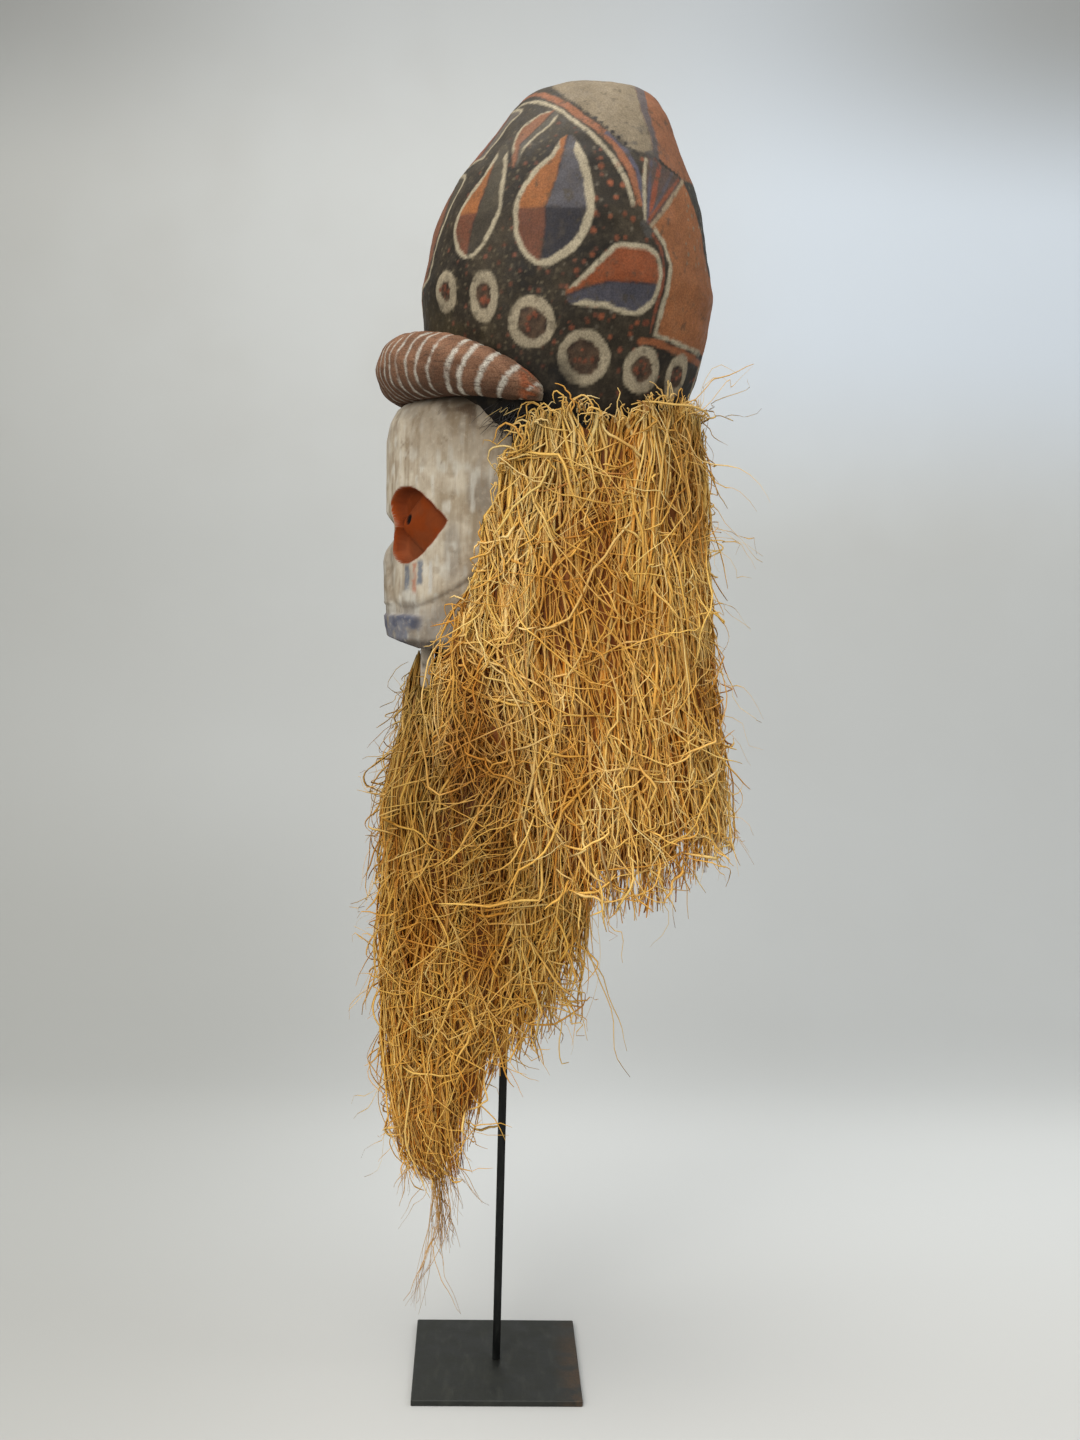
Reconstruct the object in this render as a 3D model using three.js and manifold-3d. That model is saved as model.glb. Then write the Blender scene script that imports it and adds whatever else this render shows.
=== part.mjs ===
// Dance mask with a painted cloth headdress and long raffia, held up by a rod on a square plate.
//
// Millimetres, +Z up. The origin is the centre of the base plate's underside, the mask faces -Y,
// and its own left side is +X. Both sides are alike, apart from the loose ends of the raffia.
//
// Pieces, from the floor up: base plate, rod, carved wooden face, padded brow roll, headdress of
// resin-stiffened cloth on hoops, raffia beard tied round the jaw, raffia hair tied round the rim.

import * as THREE from 'three';
import { mergeVertices } from 'three/addons/utils/BufferGeometryUtils.js';
import Module from 'manifold-3d';

const wasm = await Module();
wasm.setup();

// Air between two pieces that touch
const TOUCH_GAP = 0.35;

// Stand: a square plate with a square bar standing in its middle
const PLATE_SIDE = 170;
const PLATE_THICKNESS = 6;
const ROD_SIDE = 8;
const ROD_TOP = 1265;

// Headdress: cloth stretched over oval hoops, each hoop given by its height, its front and back
// in Y, and its half width in X. The rim dips at both sides, over the temples, and above the
// shoulder the cloth leans inwards to the crown.
const CLOTH_WALL = 5;
const DOME_POWER = 2.1;
const DOME_COLUMNS = 40;
const LINING_COLUMNS = 24;
const RIM_DIP = 19;
const RIM = { z: 967, front: -80, back: 162, half: 102 };
const SHOULDER = { z: 1148, front: -87, back: 178, half: 127 };
const HOOPS = [
  { z: 1012, front: -90, back: 172, half: 117 },
  { z: 1050, front: -96, back: 182, half: 127 },
  { z: 1088, front: -99, back: 187, half: 131 },
  SHOULDER,
  { z: 1196, front: -67, back: 171, half: 113 },
  { z: 1226, front: -39, back: 149, half: 97 },
  { z: 1260, front: -20, back: 137, half: 73 },
  { z: 1280, front: 1, back: 126, half: 52 },
];
const CROWN = { z: 1289, front: 22, back: 110, half: 34 };

// Face: half a log, open behind, with its front and half width given at a few heights. The
// hollow keeps its width above a height, so that the back stays open up to the top edge.
const WOOD_WALL = 20;
const FACE_POWER = 2.15;
const FACE_BACK = -8;
const FACE_TOP = 985;
const FACE_BOTTOM = 745;
const LOG_ANGLES = [0, 8, 14, 20, 25, 30, 36, 42, 48, 54, 60, 66, 74, 82, 90];
const LOG_LEVELS = [
  { z: 745, front: -122, half: 72, back: -60 },
  { z: 757, front: -124, half: 75, back: -55 },
  { z: 775, front: -125, half: 81, back: -45 },
  { z: 800, front: -126, half: 86, back: -30 },
  { z: 850, front: -128, half: 90, back: -12 },
  { z: 900, front: -130, half: 91, back: FACE_BACK },
  { z: 945, front: -130, half: 90, back: FACE_BACK },
  { z: 962, front: -127, half: 88, back: FACE_BACK },
  { z: 975, front: -120, half: 83, back: FACE_BACK },
  { z: FACE_TOP, front: -108, half: 74, back: FACE_BACK },
];

const HOLLOW_HEIGHTS = [735, 780, 805, 850, 900, 945, 995];
const HOLLOW_STRAIGHT_FROM = 945;
const HOLLOW_COLUMNS = 16;
const HOLLOW_BACK = 2;
const KEEP_OUT_COLUMNS = 24;

// Height bands of the carving: from, to, and the number of steps between them
const CARVING_BANDS = [
  [745, 775, 3], [776, 786, 2], [787, 826, 5], [832, 895, 9],
  [908, 945, 2], [954, 962, 1], [968, 975, 1], [980, FACE_TOP, 1],
];

// Eye sockets: heart-shaped hollows, placed by an angle round the log from the nose line
const SOCKET = { angle: 40, z: 863, depth: 15, tilt: 5, mmPerDegree: 1.75 };
const SOCKET_OUTLINE = [
  [0, 36], [22, 29.5], [50, 28.5], [85, 33.5], [115, 38.5], [145, 42], [165, 33], [180, 26],
];
const SOCKET_POINTS = 32;
const SOCKET_RINGS = [0.15, 0.33, 0.5, 0.66, 0.8, 0.93];
const SOCKET_MOUTH = { rings: [1, 0.66, 0.33], above: 6 };
const EYE = { rise: 11.5, tip: -17, nose: 12, tipHalf: 10, spread: 0.68 };
const PUPIL = { across: 4, high: 9, x: 49, z: 864, front: -140, back: -60 };

// Bridge notch, nose, lips, cheeks and the tongue of wood below the mouth. Across the face the
// carving is given in degrees round the log, and each form fades out over its edge.
const NOTCH = { z: 860, depth: 9, above: 17, below: 27, angle: 24, edge: 10 };
const NOSE = {
  top: 848, bottom: 787, topAngle: 65 / 6, bottomAngle: 22.5, edge: 10 / 3, rise: 4, steepness: 3,
};
const LIPS = { top: 776, cornerY: -93, tipY: -128, tipRise: 11, rise: 5, angle: 58, edge: 8 };
const CHEEK = {
  from: 24, edge: 8, angle: 43, fold: 784, foldEdge: 5, bend: 8, spread: 20, fade: 34, rise: 2.5,
};
const MOUTH_BLOCK = { top: 780, back: -80 };
const TONGUE = { half: 26, front: -92, back: -80, top: 752, bottom: 704 };

// Brow roll: a padded crescent laid round the forehead, thick in front and tapering to the temples
const ROLL = { centreY: 5, half: 120, reach: 112.5, frontZ: 1013.5, tipZ: 981, radius: 34 };
const ROLL_TIP_ANGLE = 98;
const ROLL_END = 0.985;
const ROLL_TAPER = 1.8;
const ROLL_DROP = 3;
const ROLL_STATIONS = 27;
const ROLL_SIDES = 14;

// Raffia: two curtains of hanging locks. Their sections are ovals given at a few heights, and the
// top and hem lines are given by height along Y. Each lock stands out between its two grooves and
// hangs below them by an uneven length. Near the knots a curtain thins to its top wall.
const LOCK_RISE = 4;
const LOCK_RISE_FADE = 0.2;
const LOCK_TIP = { shortest: 12, longest: 30 };
const HEM_WALL_SHARE = 0.45;
const THINNING_FROM = 0.6;
const LEAST_INNER_HALF = 4;

// Hair, tied along the headdress rim and down the back edges of the face
const HAIR = { power: 2.4, locks: 26, rows: 8, wall: 22, topWall: 15 };
const HAIR_LEVELS = [
  { z: 1001, front: -125, half: 112, back: 184 },
  { z: 967, front: -125, half: 118, back: 192 },
  { z: 918, front: -125, half: 124, back: 199 },
  { z: 839, front: -125, half: 130, back: 208 },
  { z: 759, front: -125, half: 133, back: 217 },
  { z: 658, front: -125, half: 135, back: 226 },
  { z: 556, front: -125, half: 136, back: 230 },
];
const HAIR_TOP_LINE = [
  { y: -84, z: 748 }, { y: -70, z: 776 }, { y: -46, z: 806 }, { y: -24, z: 846 }, { y: -14, z: 890 },
  { y: -5, z: 952 }, { y: 32, z: 976 }, { y: 100, z: 986 }, { y: 190, z: 1000 },
];
const HAIR_HEM_LINE = [
  { y: -84, z: 700 }, { y: -40, z: 650 }, { y: 10, z: 590 }, { y: 50, z: 556 }, { y: 230, z: 548 },
];

// Beard, tied round the jaw, long in front and closing to a tuft low down
const BEARD = { power: 2.2, locks: 20, rows: 11, wall: 24, topWall: 20 };
const BEARD_LEVELS = [
  { z: 744, front: -97, half: 76, back: 130 },
  { z: 711, front: -105, half: 84, back: 134 },
  { z: 660, front: -115, half: 92, back: 138 },
  { z: 599, front: -126, half: 96, back: 140 },
  { z: 538, front: -134, half: 94, back: 140 },
  { z: 484, front: -134, half: 90, back: 140 },
  { z: 430, front: -131, half: 83, back: 140 },
  { z: 384, front: -128, half: 75, back: 138 },
  { z: 332, front: -123, half: 62, back: 130 },
  { z: 280, front: -115, half: 46, back: 108 },
  { z: 232, front: -103, half: 32, back: 84 },
  { z: 200, front: -90, half: 20, back: 60 },
];
const BEARD_TOP_LINE = [{ y: -130, z: 744 }, { y: 78, z: 744 }];
const BEARD_HEM_LINE = [
  { y: -130, z: 222 }, { y: -80, z: 204 }, { y: -47, z: 216 }, { y: -23, z: 270 }, { y: 1, z: 335 },
  { y: 46, z: 388 }, { y: 66, z: 412 }, { y: 78, z: 462 },
];
const WISPS = [
  { x: 6, y: -66, foot: 62, lean: -5 },
  { x: -8, y: -74, foot: 120, lean: 6 },
  { x: 12, y: -58, foot: 142, lean: 8 },
];
const WISP = { radius: 6, tipRadius: 1, top: 250, sides: 6 };

const lerp = (a, b, t) => a + (b - a) * t;
const clamp01 = (t) => Math.min(1, Math.max(0, t));
const signedPower = (value, power) => Math.sign(value) * Math.abs(value) ** power;
const radians = THREE.MathUtils.degToRad;

/** Values between the two levels that enclose height z, in a list sorted either way. */
function levelAt(levels, z) {
  const rising = [...levels].sort((a, b) => a.z - b.z);
  const above = rising.findIndex((level) => level.z >= z);
  if (above <= 0) return { ...rising[above === 0 ? 0 : rising.length - 1] };
  const low = rising[above - 1];
  const high = rising[above];
  const t = (z - low.z) / (high.z - low.z);
  return Object.fromEntries(Object.keys(low).map((key) => [key, lerp(low[key], high[key], t)]));
}

/** Point of a flattened oval seen in plan: angle 0 is its front (-Y), 90 degrees its +X side. */
function ovalPoint(angle, oval, power, z, grow = 0) {
  const centre = (oval.front + oval.back) / 2;
  const depth = (oval.back - oval.front) / 2 + grow;
  const x = (oval.half + grow) * signedPower(Math.sin(angle), 2 / power);
  const y = centre - depth * signedPower(Math.cos(angle), 2 / power);
  return new THREE.Vector3(x, y, z);
}

/** Triangles from a flat list of points. */
function geometryFrom(points, triangles) {
  const geometry = new THREE.BufferGeometry();
  const numbers = points.flatMap((point) => point.toArray());
  geometry.setAttribute('position', new THREE.Float32BufferAttribute(numbers, 3));
  geometry.setIndex(triangles.flat());
  return geometry;
}

/** Closed solid through rings of equal length, listed upwards and counter-clockwise from above. */
function loft(rings) {
  const count = rings[0].length;
  const points = rings.flat();
  const triangles = [];
  for (let row = 0; row + 1 < rings.length; row += 1) {
    for (let column = 0; column < count; column += 1) {
      const next = (column + 1) % count;
      const a = row * count + column;
      const b = row * count + next;
      triangles.push([a, b, b + count], [a, b + count, a + count]);
    }
  }
  const middle = (ring) => ring.reduce((sum, p) => sum.add(p), new THREE.Vector3()).divideScalar(count);
  const bottom = points.push(middle(rings[0])) - 1;
  const top = points.push(middle(rings[rings.length - 1])) - 1;
  const lastRow = (rings.length - 1) * count;
  for (let column = 0; column < count; column += 1) {
    const next = (column + 1) % count;
    triangles.push([bottom, next, column], [top, lastRow + column, lastRow + next]);
  }
  return geometryFrom(points, triangles);
}

/** Closed wall between an outer and an inner sheet, rows upwards, columns counter-clockwise. */
function wallBetween(outer, inner) {
  const rows = outer.length;
  const columns = outer[0].length;
  const points = [...outer.flat(), ...inner.flat()];
  const inside = rows * columns;
  const triangles = [];
  const quad = (a, b, c, d) => triangles.push([a, b, c], [a, c, d]);
  for (let row = 0; row + 1 < rows; row += 1) {
    for (let column = 0; column + 1 < columns; column += 1) {
      const a = row * columns + column;
      quad(a, a + 1, a + 1 + columns, a + columns);
      quad(inside + a, inside + a + columns, inside + a + 1 + columns, inside + a + 1);
    }
    const first = row * columns;
    const last = first + columns - 1;
    quad(inside + first, first, first + columns, inside + first + columns);
    quad(last, inside + last, inside + last + columns, last + columns);
  }
  for (let column = 0; column + 1 < columns; column += 1) {
    const top = (rows - 1) * columns + column;
    quad(inside + column, inside + column + 1, column + 1, column);
    quad(top, top + 1, inside + top + 1, inside + top);
  }
  return geometryFrom(points, triangles);
}

/** Solid for cutting and joining, from any closed geometry. */
function solidFrom(geometry) {
  const bare = geometry.clone();
  bare.deleteAttribute('normal');
  bare.deleteAttribute('uv');
  const merged = mergeVertices(bare, 1e-4);
  return new wasm.Manifold(new wasm.Mesh({
    numProp: 3,
    vertProperties: new Float32Array(merged.attributes.position.array),
    triVerts: new Uint32Array(merged.index.array),
  }));
}

/** Geometry of a solid that has been cut or joined. */
function geometryOf(solid) {
  const { vertProperties, triVerts } = solid.getMesh();
  const geometry = new THREE.BufferGeometry();
  geometry.setAttribute('position', new THREE.BufferAttribute(new Float32Array(vertProperties), 3));
  geometry.setIndex(new THREE.BufferAttribute(new Uint32Array(triVerts), 1));
  return geometry;
}

/** Box between two corners. */
function boxBetween(low, high) {
  const size = high.map((value, axis) => value - low[axis]);
  const centre = high.map((value, axis) => (value + low[axis]) / 2);
  return new THREE.BoxGeometry(...size).translate(...centre);
}

// Headdress

/** Rings of the headdress from rim to crown, grown outwards by a distance. */
function domeRings(columns, grow, rimDrop) {
  const angles = Array.from({ length: columns }, (_, i) => (i / columns) * 2 * Math.PI);
  const rim = angles.map((angle) => {
    const z = RIM.z + RIM_DIP * Math.cos(2 * angle) - rimDrop;
    return ovalPoint(angle, RIM, DOME_POWER, z, grow);
  });
  const levels = [...HOOPS, CROWN];
  return [rim, ...levels.map((hoop) => angles.map((angle) => {
    const rise = grow * clamp01((hoop.z - SHOULDER.z) / (CROWN.z - SHOULDER.z));
    return ovalPoint(angle, hoop, DOME_POWER, hoop.z + rise, grow);
  }))];
}

const domeSolid = (grow) => solidFrom(loft(domeRings(DOME_COLUMNS, grow, grow)));

function makeHeaddress(faceKeepOut) {
  const lining = solidFrom(loft(domeRings(LINING_COLUMNS, -CLOTH_WALL, 2 * CLOTH_WALL)));
  return domeSolid(0).subtract(lining).subtract(faceKeepOut);
}

// Face

/** Section of the log at a height: an arc from one back edge round the front to the other. */
function logPoint(degrees, z, grow = 0) {
  const level = levelAt(LOG_LEVELS, z);
  const mirrored = { ...level, back: 2 * level.back - level.front };
  return ovalPoint(radians(degrees), mirrored, FACE_POWER, z, grow);
}

/** Low carving: how far the wood stands out of the plain log at an angle and a height. */
function faceRelief(degrees, z) {
  const side = Math.abs(degrees);
  const aboveNotch = 1 - (z - NOTCH.z) / NOTCH.above;
  const belowNotch = 1 - (NOTCH.z - z) / NOTCH.below;
  const notch = clamp01(Math.min(aboveNotch, belowNotch)) * clamp01((NOTCH.angle - side) / NOTCH.edge);
  const alongNose = clamp01((NOSE.top - z) / (NOSE.top - NOSE.bottom));
  const noseEdge = lerp(NOSE.topAngle, NOSE.bottomAngle, alongNose);
  const onNose = z > NOSE.bottom ? clamp01((noseEdge - side) / NOSE.edge + 0.5) : 0;
  const nose = onNose * NOSE.rise * clamp01(alongNose * NOSE.steepness);
  const lips = z < LIPS.top ? LIPS.rise * clamp01((LIPS.angle - side) / LIPS.edge) : 0;
  const aboveFold = z - CHEEK.fold - CHEEK.bend * ((side - CHEEK.angle) / CHEEK.spread) ** 2;
  const alongCheek = clamp01(aboveFold / CHEEK.foldEdge) * clamp01(1 - aboveFold / CHEEK.fade);
  const cheek = CHEEK.rise * alongCheek * clamp01((side - CHEEK.from) / CHEEK.edge);
  return nose + lips + cheek - notch * NOTCH.depth;
}

/** Wedge-shaped eye on the socket floor: its nose points forward, and it widens to the rear. */
function eyeRise(along, up) {
  const past = along - EYE.tip;
  if (past <= 0) return 0;
  const half = EYE.tipHalf + EYE.spread * past;
  const across = Math.sqrt(clamp01(1 - (up / half) ** 2));
  const nose = Math.sqrt(clamp01(1 - (1 - Math.min(1, past / EYE.nose)) ** 2));
  return EYE.rise * across * nose;
}

/** Height rows of the carved front, close together where the carving is fine. */
function faceRows() {
  return CARVING_BANDS.flatMap(([low, high, steps]) => (
    Array.from({ length: steps + 1 }, (_, i) => lerp(low, high, i / steps))));
}

/** Lower edge of the wood: under the lips it rises in a straight slope towards their tip. */
function bottomAt(degrees) {
  const { y } = logPoint(degrees, FACE_BOTTOM, LIPS.rise);
  return FACE_BOTTOM + LIPS.tipRise * clamp01((LIPS.cornerY - y) / (LIPS.cornerY - LIPS.tipY));
}

function makeLog() {
  const angles = [...LOG_ANGLES.slice(1).reverse().map((angle) => -angle), ...LOG_ANGLES];
  const rings = faceRows().map((z) => angles.map((degrees) => {
    const alongLips = (z - FACE_BOTTOM) / (LIPS.top - FACE_BOTTOM);
    const height = z < LIPS.top ? lerp(bottomAt(degrees), LIPS.top, alongLips) : z;
    return logPoint(degrees, height, faceRelief(degrees, z));
  }));
  return solidFrom(loft(rings));
}

/** Plain log without carving or hollow, used to keep neighbours clear of the face. */
function logKeepOut() {
  const angles = Array.from({ length: KEEP_OUT_COLUMNS + 1 }, (_, i) => (
    lerp(-90, 90, i / KEEP_OUT_COLUMNS)));
  const raised = { ...LOG_LEVELS[LOG_LEVELS.length - 1], z: FACE_TOP + TOUCH_GAP };
  const rings = [...LOG_LEVELS.slice(0, -1), raised].map((level) => angles.map((degrees) => {
    const mirrored = { ...level, back: 2 * level.back - level.front };
    const point = ovalPoint(radians(degrees), mirrored, FACE_POWER, level.z, 2 * TOUCH_GAP);
    if (Math.abs(degrees) === 90) point.y = level.back + TOUCH_GAP;
    return point;
  }));
  return solidFrom(loft(rings));
}

/** Hollow behind the face: it leaves the wall, and a thicker block of wood behind the mouth. */
function makeFaceHollow() {
  const angles = Array.from({ length: HOLLOW_COLUMNS + 1 }, (_, i) => (
    lerp(-90, 90, i / HOLLOW_COLUMNS)));
  return solidFrom(loft(HOLLOW_HEIGHTS.map((z) => angles.map((degrees) => {
    const level = levelAt(LOG_LEVELS, Math.min(HOLLOW_STRAIGHT_FROM, z));
    const front = z > MOUTH_BLOCK.top ? level.front + WOOD_WALL : MOUTH_BLOCK.back;
    const inner = { half: level.half - WOOD_WALL, front, back: 2 * level.back - front };
    const point = ovalPoint(radians(degrees), inner, FACE_POWER, z);
    if (Math.abs(degrees) === 90) point.y = HOLLOW_BACK;
    return point;
  }))));
}

/** Radius of the heart outline in a direction, from the list of its main radii. */
function socketRadius(degrees) {
  const turn = Math.abs(THREE.MathUtils.euclideanModulo(degrees + 180, 360) - 180);
  const next = Math.max(1, SOCKET_OUTLINE.findIndex(([angle]) => angle >= turn));
  const [a0, r0] = SOCKET_OUTLINE[next - 1];
  const [a1, r1] = SOCKET_OUTLINE[next];
  return lerp(r0, r1, (turn - a0) / (a1 - a0));
}

/** Cutter for one socket: a heart laid on the log, with the eye standing on its floor. */
function makeSocket(side) {
  const ring = (scale, offset) => Array.from({ length: SOCKET_POINTS }, (_, i) => {
    const turn = (i / SOCKET_POINTS) * 360;
    const reach = socketRadius(turn) * scale;
    const heading = radians(turn + SOCKET.tilt);
    const along = reach * Math.cos(heading);
    const up = reach * Math.sin(heading);
    const degrees = SOCKET.angle + along / SOCKET.mmPerDegree;
    const out = offset === null ? eyeRise(along, up) - SOCKET.depth : offset;
    const point = logPoint(degrees, SOCKET.z + up, out);
    return point.setX(point.x * side);
  });
  const floor = SOCKET_RINGS.map((scale) => ring(scale, null));
  const rings = [...floor, ...SOCKET_MOUTH.rings.map((scale) => ring(scale, SOCKET_MOUTH.above))];
  return solidFrom(loft(side > 0 ? rings : rings.map((points) => points.reverse())));
}

function makeFace() {
  const pupil = (side) => solidFrom(boxBetween(
    [side * PUPIL.x - PUPIL.across / 2, PUPIL.front, PUPIL.z - PUPIL.high / 2],
    [side * PUPIL.x + PUPIL.across / 2, PUPIL.back, PUPIL.z + PUPIL.high / 2],
  ));
  const tongue = solidFrom(boxBetween(
    [-TONGUE.half, TONGUE.front, TONGUE.bottom],
    [TONGUE.half, TONGUE.back, TONGUE.top],
  ));
  return makeLog().add(tongue).subtract(makeFaceHollow())
    .subtract(makeSocket(1)).subtract(makeSocket(-1))
    .subtract(pupil(1)).subtract(pupil(-1));
}

/** Everything of the face that its neighbours keep clear of, with the gap. */
function faceKeepOut() {
  const tongue = solidFrom(boxBetween(
    [-TONGUE.half - TOUCH_GAP, TONGUE.front - TOUCH_GAP, TONGUE.bottom - TOUCH_GAP],
    [TONGUE.half + TOUCH_GAP, TONGUE.back + TOUCH_GAP, TONGUE.top],
  ));
  return logKeepOut().add(tongue);
}

// Brow roll

/** Centre of the roll at an angle from its front, and its thickness there. */
function rollStation(degrees) {
  const angle = radians(degrees);
  const share = Math.abs(degrees) / ROLL_TIP_ANGLE;
  const centre = new THREE.Vector3(
    ROLL.half * Math.sin(angle),
    ROLL.centreY - ROLL.reach * Math.cos(angle),
    lerp(ROLL.frontZ, ROLL.tipZ, share ** ROLL_DROP),
  );
  return { centre, radius: ROLL.radius * Math.sqrt(1 - share ** ROLL_TAPER) };
}

function makeBrowRoll() {
  const rings = Array.from({ length: ROLL_STATIONS }, (_, i) => {
    const degrees = lerp(-ROLL_END, ROLL_END, i / (ROLL_STATIONS - 1)) * ROLL_TIP_ANGLE;
    const { centre, radius } = rollStation(degrees);
    const angle = radians(degrees);
    const outward = new THREE.Vector3(Math.sin(angle), -Math.cos(angle), 0);
    return Array.from({ length: ROLL_SIDES }, (__, side) => {
      const turn = (side / ROLL_SIDES) * 2 * Math.PI;
      return centre.clone()
        .addScaledVector(outward, radius * Math.cos(turn))
        .add(new THREE.Vector3(0, 0, radius * Math.sin(turn)));
    });
  });
  return solidFrom(loft(rings.map((ring) => ring.reverse())));
}

// Raffia

/** Height of a line given along Y, at one Y. */
function lineHeight(line, y) {
  const next = line.findIndex((point) => point.y >= y);
  if (next === 0) return line[0].z;
  if (next < 0) return line[line.length - 1].z;
  const [low, high] = [line[next - 1], line[next]];
  return lerp(low.z, high.z, (y - low.y) / (high.y - low.y));
}

/** Angle on an oval, from its front, at which it reaches a given Y. */
function angleAt(y, oval, power) {
  const centre = (oval.front + oval.back) / 2;
  const depth = (oval.back - oval.front) / 2;
  const ratio = THREE.MathUtils.clamp((centre - y) / depth, -1, 1);
  return Math.acos(signedPower(ratio, power / 2));
}

/** Uneven but repeatable number between 0 and 1. */
const uneven = (index) => Math.abs(Math.sin(index * 12.9898) * 43758.5453) % 1;

/**
 * Curtain of locks that hang straight down, between two angles round its ovals. Every second
 * column is the ridge of a lock, which stands out and hangs below the grooves beside it.
 */
function makeCurtain(curtain, levels, topLine, hemLine, from, to) {
  const widest = levels.reduce((a, b) => (b.half > a.half ? b : a));
  const columns = 2 * curtain.locks + 1;
  const sheet = (inner) => Array.from({ length: curtain.rows }, (_, row) => (
    Array.from({ length: columns }, (__, column) => {
      const angle = lerp(from, to, column / (columns - 1));
      const onLock = column % 2;
      const { y } = ovalPoint(angle, widest, curtain.power, 0);
      const tip = onLock * lerp(LOCK_TIP.shortest, LOCK_TIP.longest, uneven(column));
      const share = row / (curtain.rows - 1);
      const z = lerp(lineHeight(hemLine, y) - tip, lineHeight(topLine, y), share);
      const thinning = clamp01((share - THINNING_FROM) / (1 - THINNING_FROM));
      const wall = lerp(curtain.wall, curtain.topWall, thinning) * (row ? 1 : HEM_WALL_SHARE);
      const ridge = onLock * LOCK_RISE * clamp01((1 - share) / LOCK_RISE_FADE);
      const level = levelAt(levels, z);
      const inward = -Math.min(wall, level.half - LEAST_INNER_HALF);
      return ovalPoint(angle, level, curtain.power, z, inner ? inward : ridge);
    })));
  return solidFrom(wallBetween(sheet(false), sheet(true)));
}

function makeHair(keepOut) {
  const edge = angleAt(HAIR_TOP_LINE[0].y, HAIR_LEVELS[HAIR_LEVELS.length - 1], HAIR.power);
  return makeCurtain(HAIR, HAIR_LEVELS, HAIR_TOP_LINE, HAIR_HEM_LINE, edge, 2 * Math.PI - edge)
    .subtract(keepOut);
}

/** Thin tapering lock that hangs below the tuft of the beard. */
function makeWisp({ x, y, foot, lean }) {
  const drop = WISP.top - foot;
  const cone = new THREE.CylinderGeometry(WISP.radius, WISP.tipRadius, drop, WISP.sides);
  cone.rotateX(Math.PI / 2 + Math.atan(lean / drop));
  return solidFrom(cone.translate(x, y, foot + drop / 2));
}

function makeBeard(keepOut) {
  const widest = BEARD_LEVELS.reduce((a, b) => (b.half > a.half ? b : a));
  const edge = angleAt(BEARD_TOP_LINE[1].y, widest, BEARD.power);
  const curtain = makeCurtain(BEARD, BEARD_LEVELS, BEARD_TOP_LINE, BEARD_HEM_LINE, -edge, edge);
  return WISPS.reduce((solid, wisp) => solid.add(makeWisp(wisp)), curtain).subtract(keepOut);
}

// Assembly

const finish = {
  blackSteel: new THREE.MeshStandardMaterial({ color: 0x26272a, roughness: 0.45, metalness: 0.8 }),
  wood: new THREE.MeshStandardMaterial({ color: 0xc4b8a6, roughness: 0.85, metalness: 0 }),
  roll: new THREE.MeshStandardMaterial({ color: 0x8a5a44, roughness: 0.9, metalness: 0 }),
  cloth: new THREE.MeshStandardMaterial({ color: 0x3a362f, roughness: 0.85, metalness: 0 }),
  raffia: new THREE.MeshStandardMaterial({ color: 0xc69a4c, roughness: 0.8, metalness: 0 }),
};

function namedMesh(name, geometry, material) {
  const mesh = new THREE.Mesh(geometry, material);
  mesh.name = name;
  return mesh;
}

const plate = boxBetween(
  [-PLATE_SIDE / 2, -PLATE_SIDE / 2, 0],
  [PLATE_SIDE / 2, PLATE_SIDE / 2, PLATE_THICKNESS],
);
const rod = boxBetween(
  [-ROD_SIDE / 2, -ROD_SIDE / 2, PLATE_THICKNESS + TOUCH_GAP],
  [ROD_SIDE / 2, ROD_SIDE / 2, ROD_TOP],
);
const faceClear = faceKeepOut();
const domeClear = domeSolid(TOUCH_GAP);
const headdress = makeHeaddress(faceClear);
const browRoll = makeBrowRoll().subtract(domeClear).subtract(faceClear);
const hair = makeHair(domeClear.add(faceClear));
const beard = makeBeard(faceClear);

const mask = new THREE.Group();
mask.add(
  namedMesh('base_plate', plate, finish.blackSteel),
  namedMesh('stand_rod', rod, finish.blackSteel),
  namedMesh('face', geometryOf(makeFace()), finish.wood),
  namedMesh('brow_roll', geometryOf(browRoll), finish.roll),
  namedMesh('headdress', geometryOf(headdress), finish.cloth),
  namedMesh('raffia_hair', geometryOf(hair), finish.raffia),
  namedMesh('raffia_beard', geometryOf(beard), finish.raffia),
);

export default mask;
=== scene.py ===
# %% [markdown]
# # A dance mask with a painted dome headdress and long raffia
#
# The real work is a mask that a dancer wears over the head. A face is carved from half a log and
# rubbed with white clay. A padded cloth roll lies on its brow, and behind it a tall dome of cloth,
# stretched wet over cane hoops and stiffened with resin, is painted all over. Raffia is tied along
# the dome's rim as hair and round the jaw as a long beard. A steel bar on a square plate holds it.
#
# This lesson rebuilds it from surfaces. Each surface is a grid of points worked out with numpy
# from a few sizes in millimetres, and painted by colouring its points before the shader adds grain.

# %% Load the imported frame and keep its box
import bpy
import numpy as np
from mathutils import Matrix


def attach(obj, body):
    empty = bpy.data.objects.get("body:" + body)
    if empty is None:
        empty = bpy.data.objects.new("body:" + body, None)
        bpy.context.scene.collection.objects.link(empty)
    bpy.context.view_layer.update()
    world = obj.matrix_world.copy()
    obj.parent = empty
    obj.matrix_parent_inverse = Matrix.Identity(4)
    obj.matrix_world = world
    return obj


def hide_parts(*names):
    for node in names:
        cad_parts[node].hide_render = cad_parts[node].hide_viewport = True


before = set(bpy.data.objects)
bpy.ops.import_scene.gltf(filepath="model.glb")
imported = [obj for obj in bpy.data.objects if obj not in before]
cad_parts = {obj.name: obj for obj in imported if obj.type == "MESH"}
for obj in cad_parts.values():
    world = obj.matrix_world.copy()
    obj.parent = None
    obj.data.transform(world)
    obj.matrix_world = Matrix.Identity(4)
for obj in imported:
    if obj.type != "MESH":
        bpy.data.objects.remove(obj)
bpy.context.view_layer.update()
print("nodes:", sorted(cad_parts))

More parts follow.
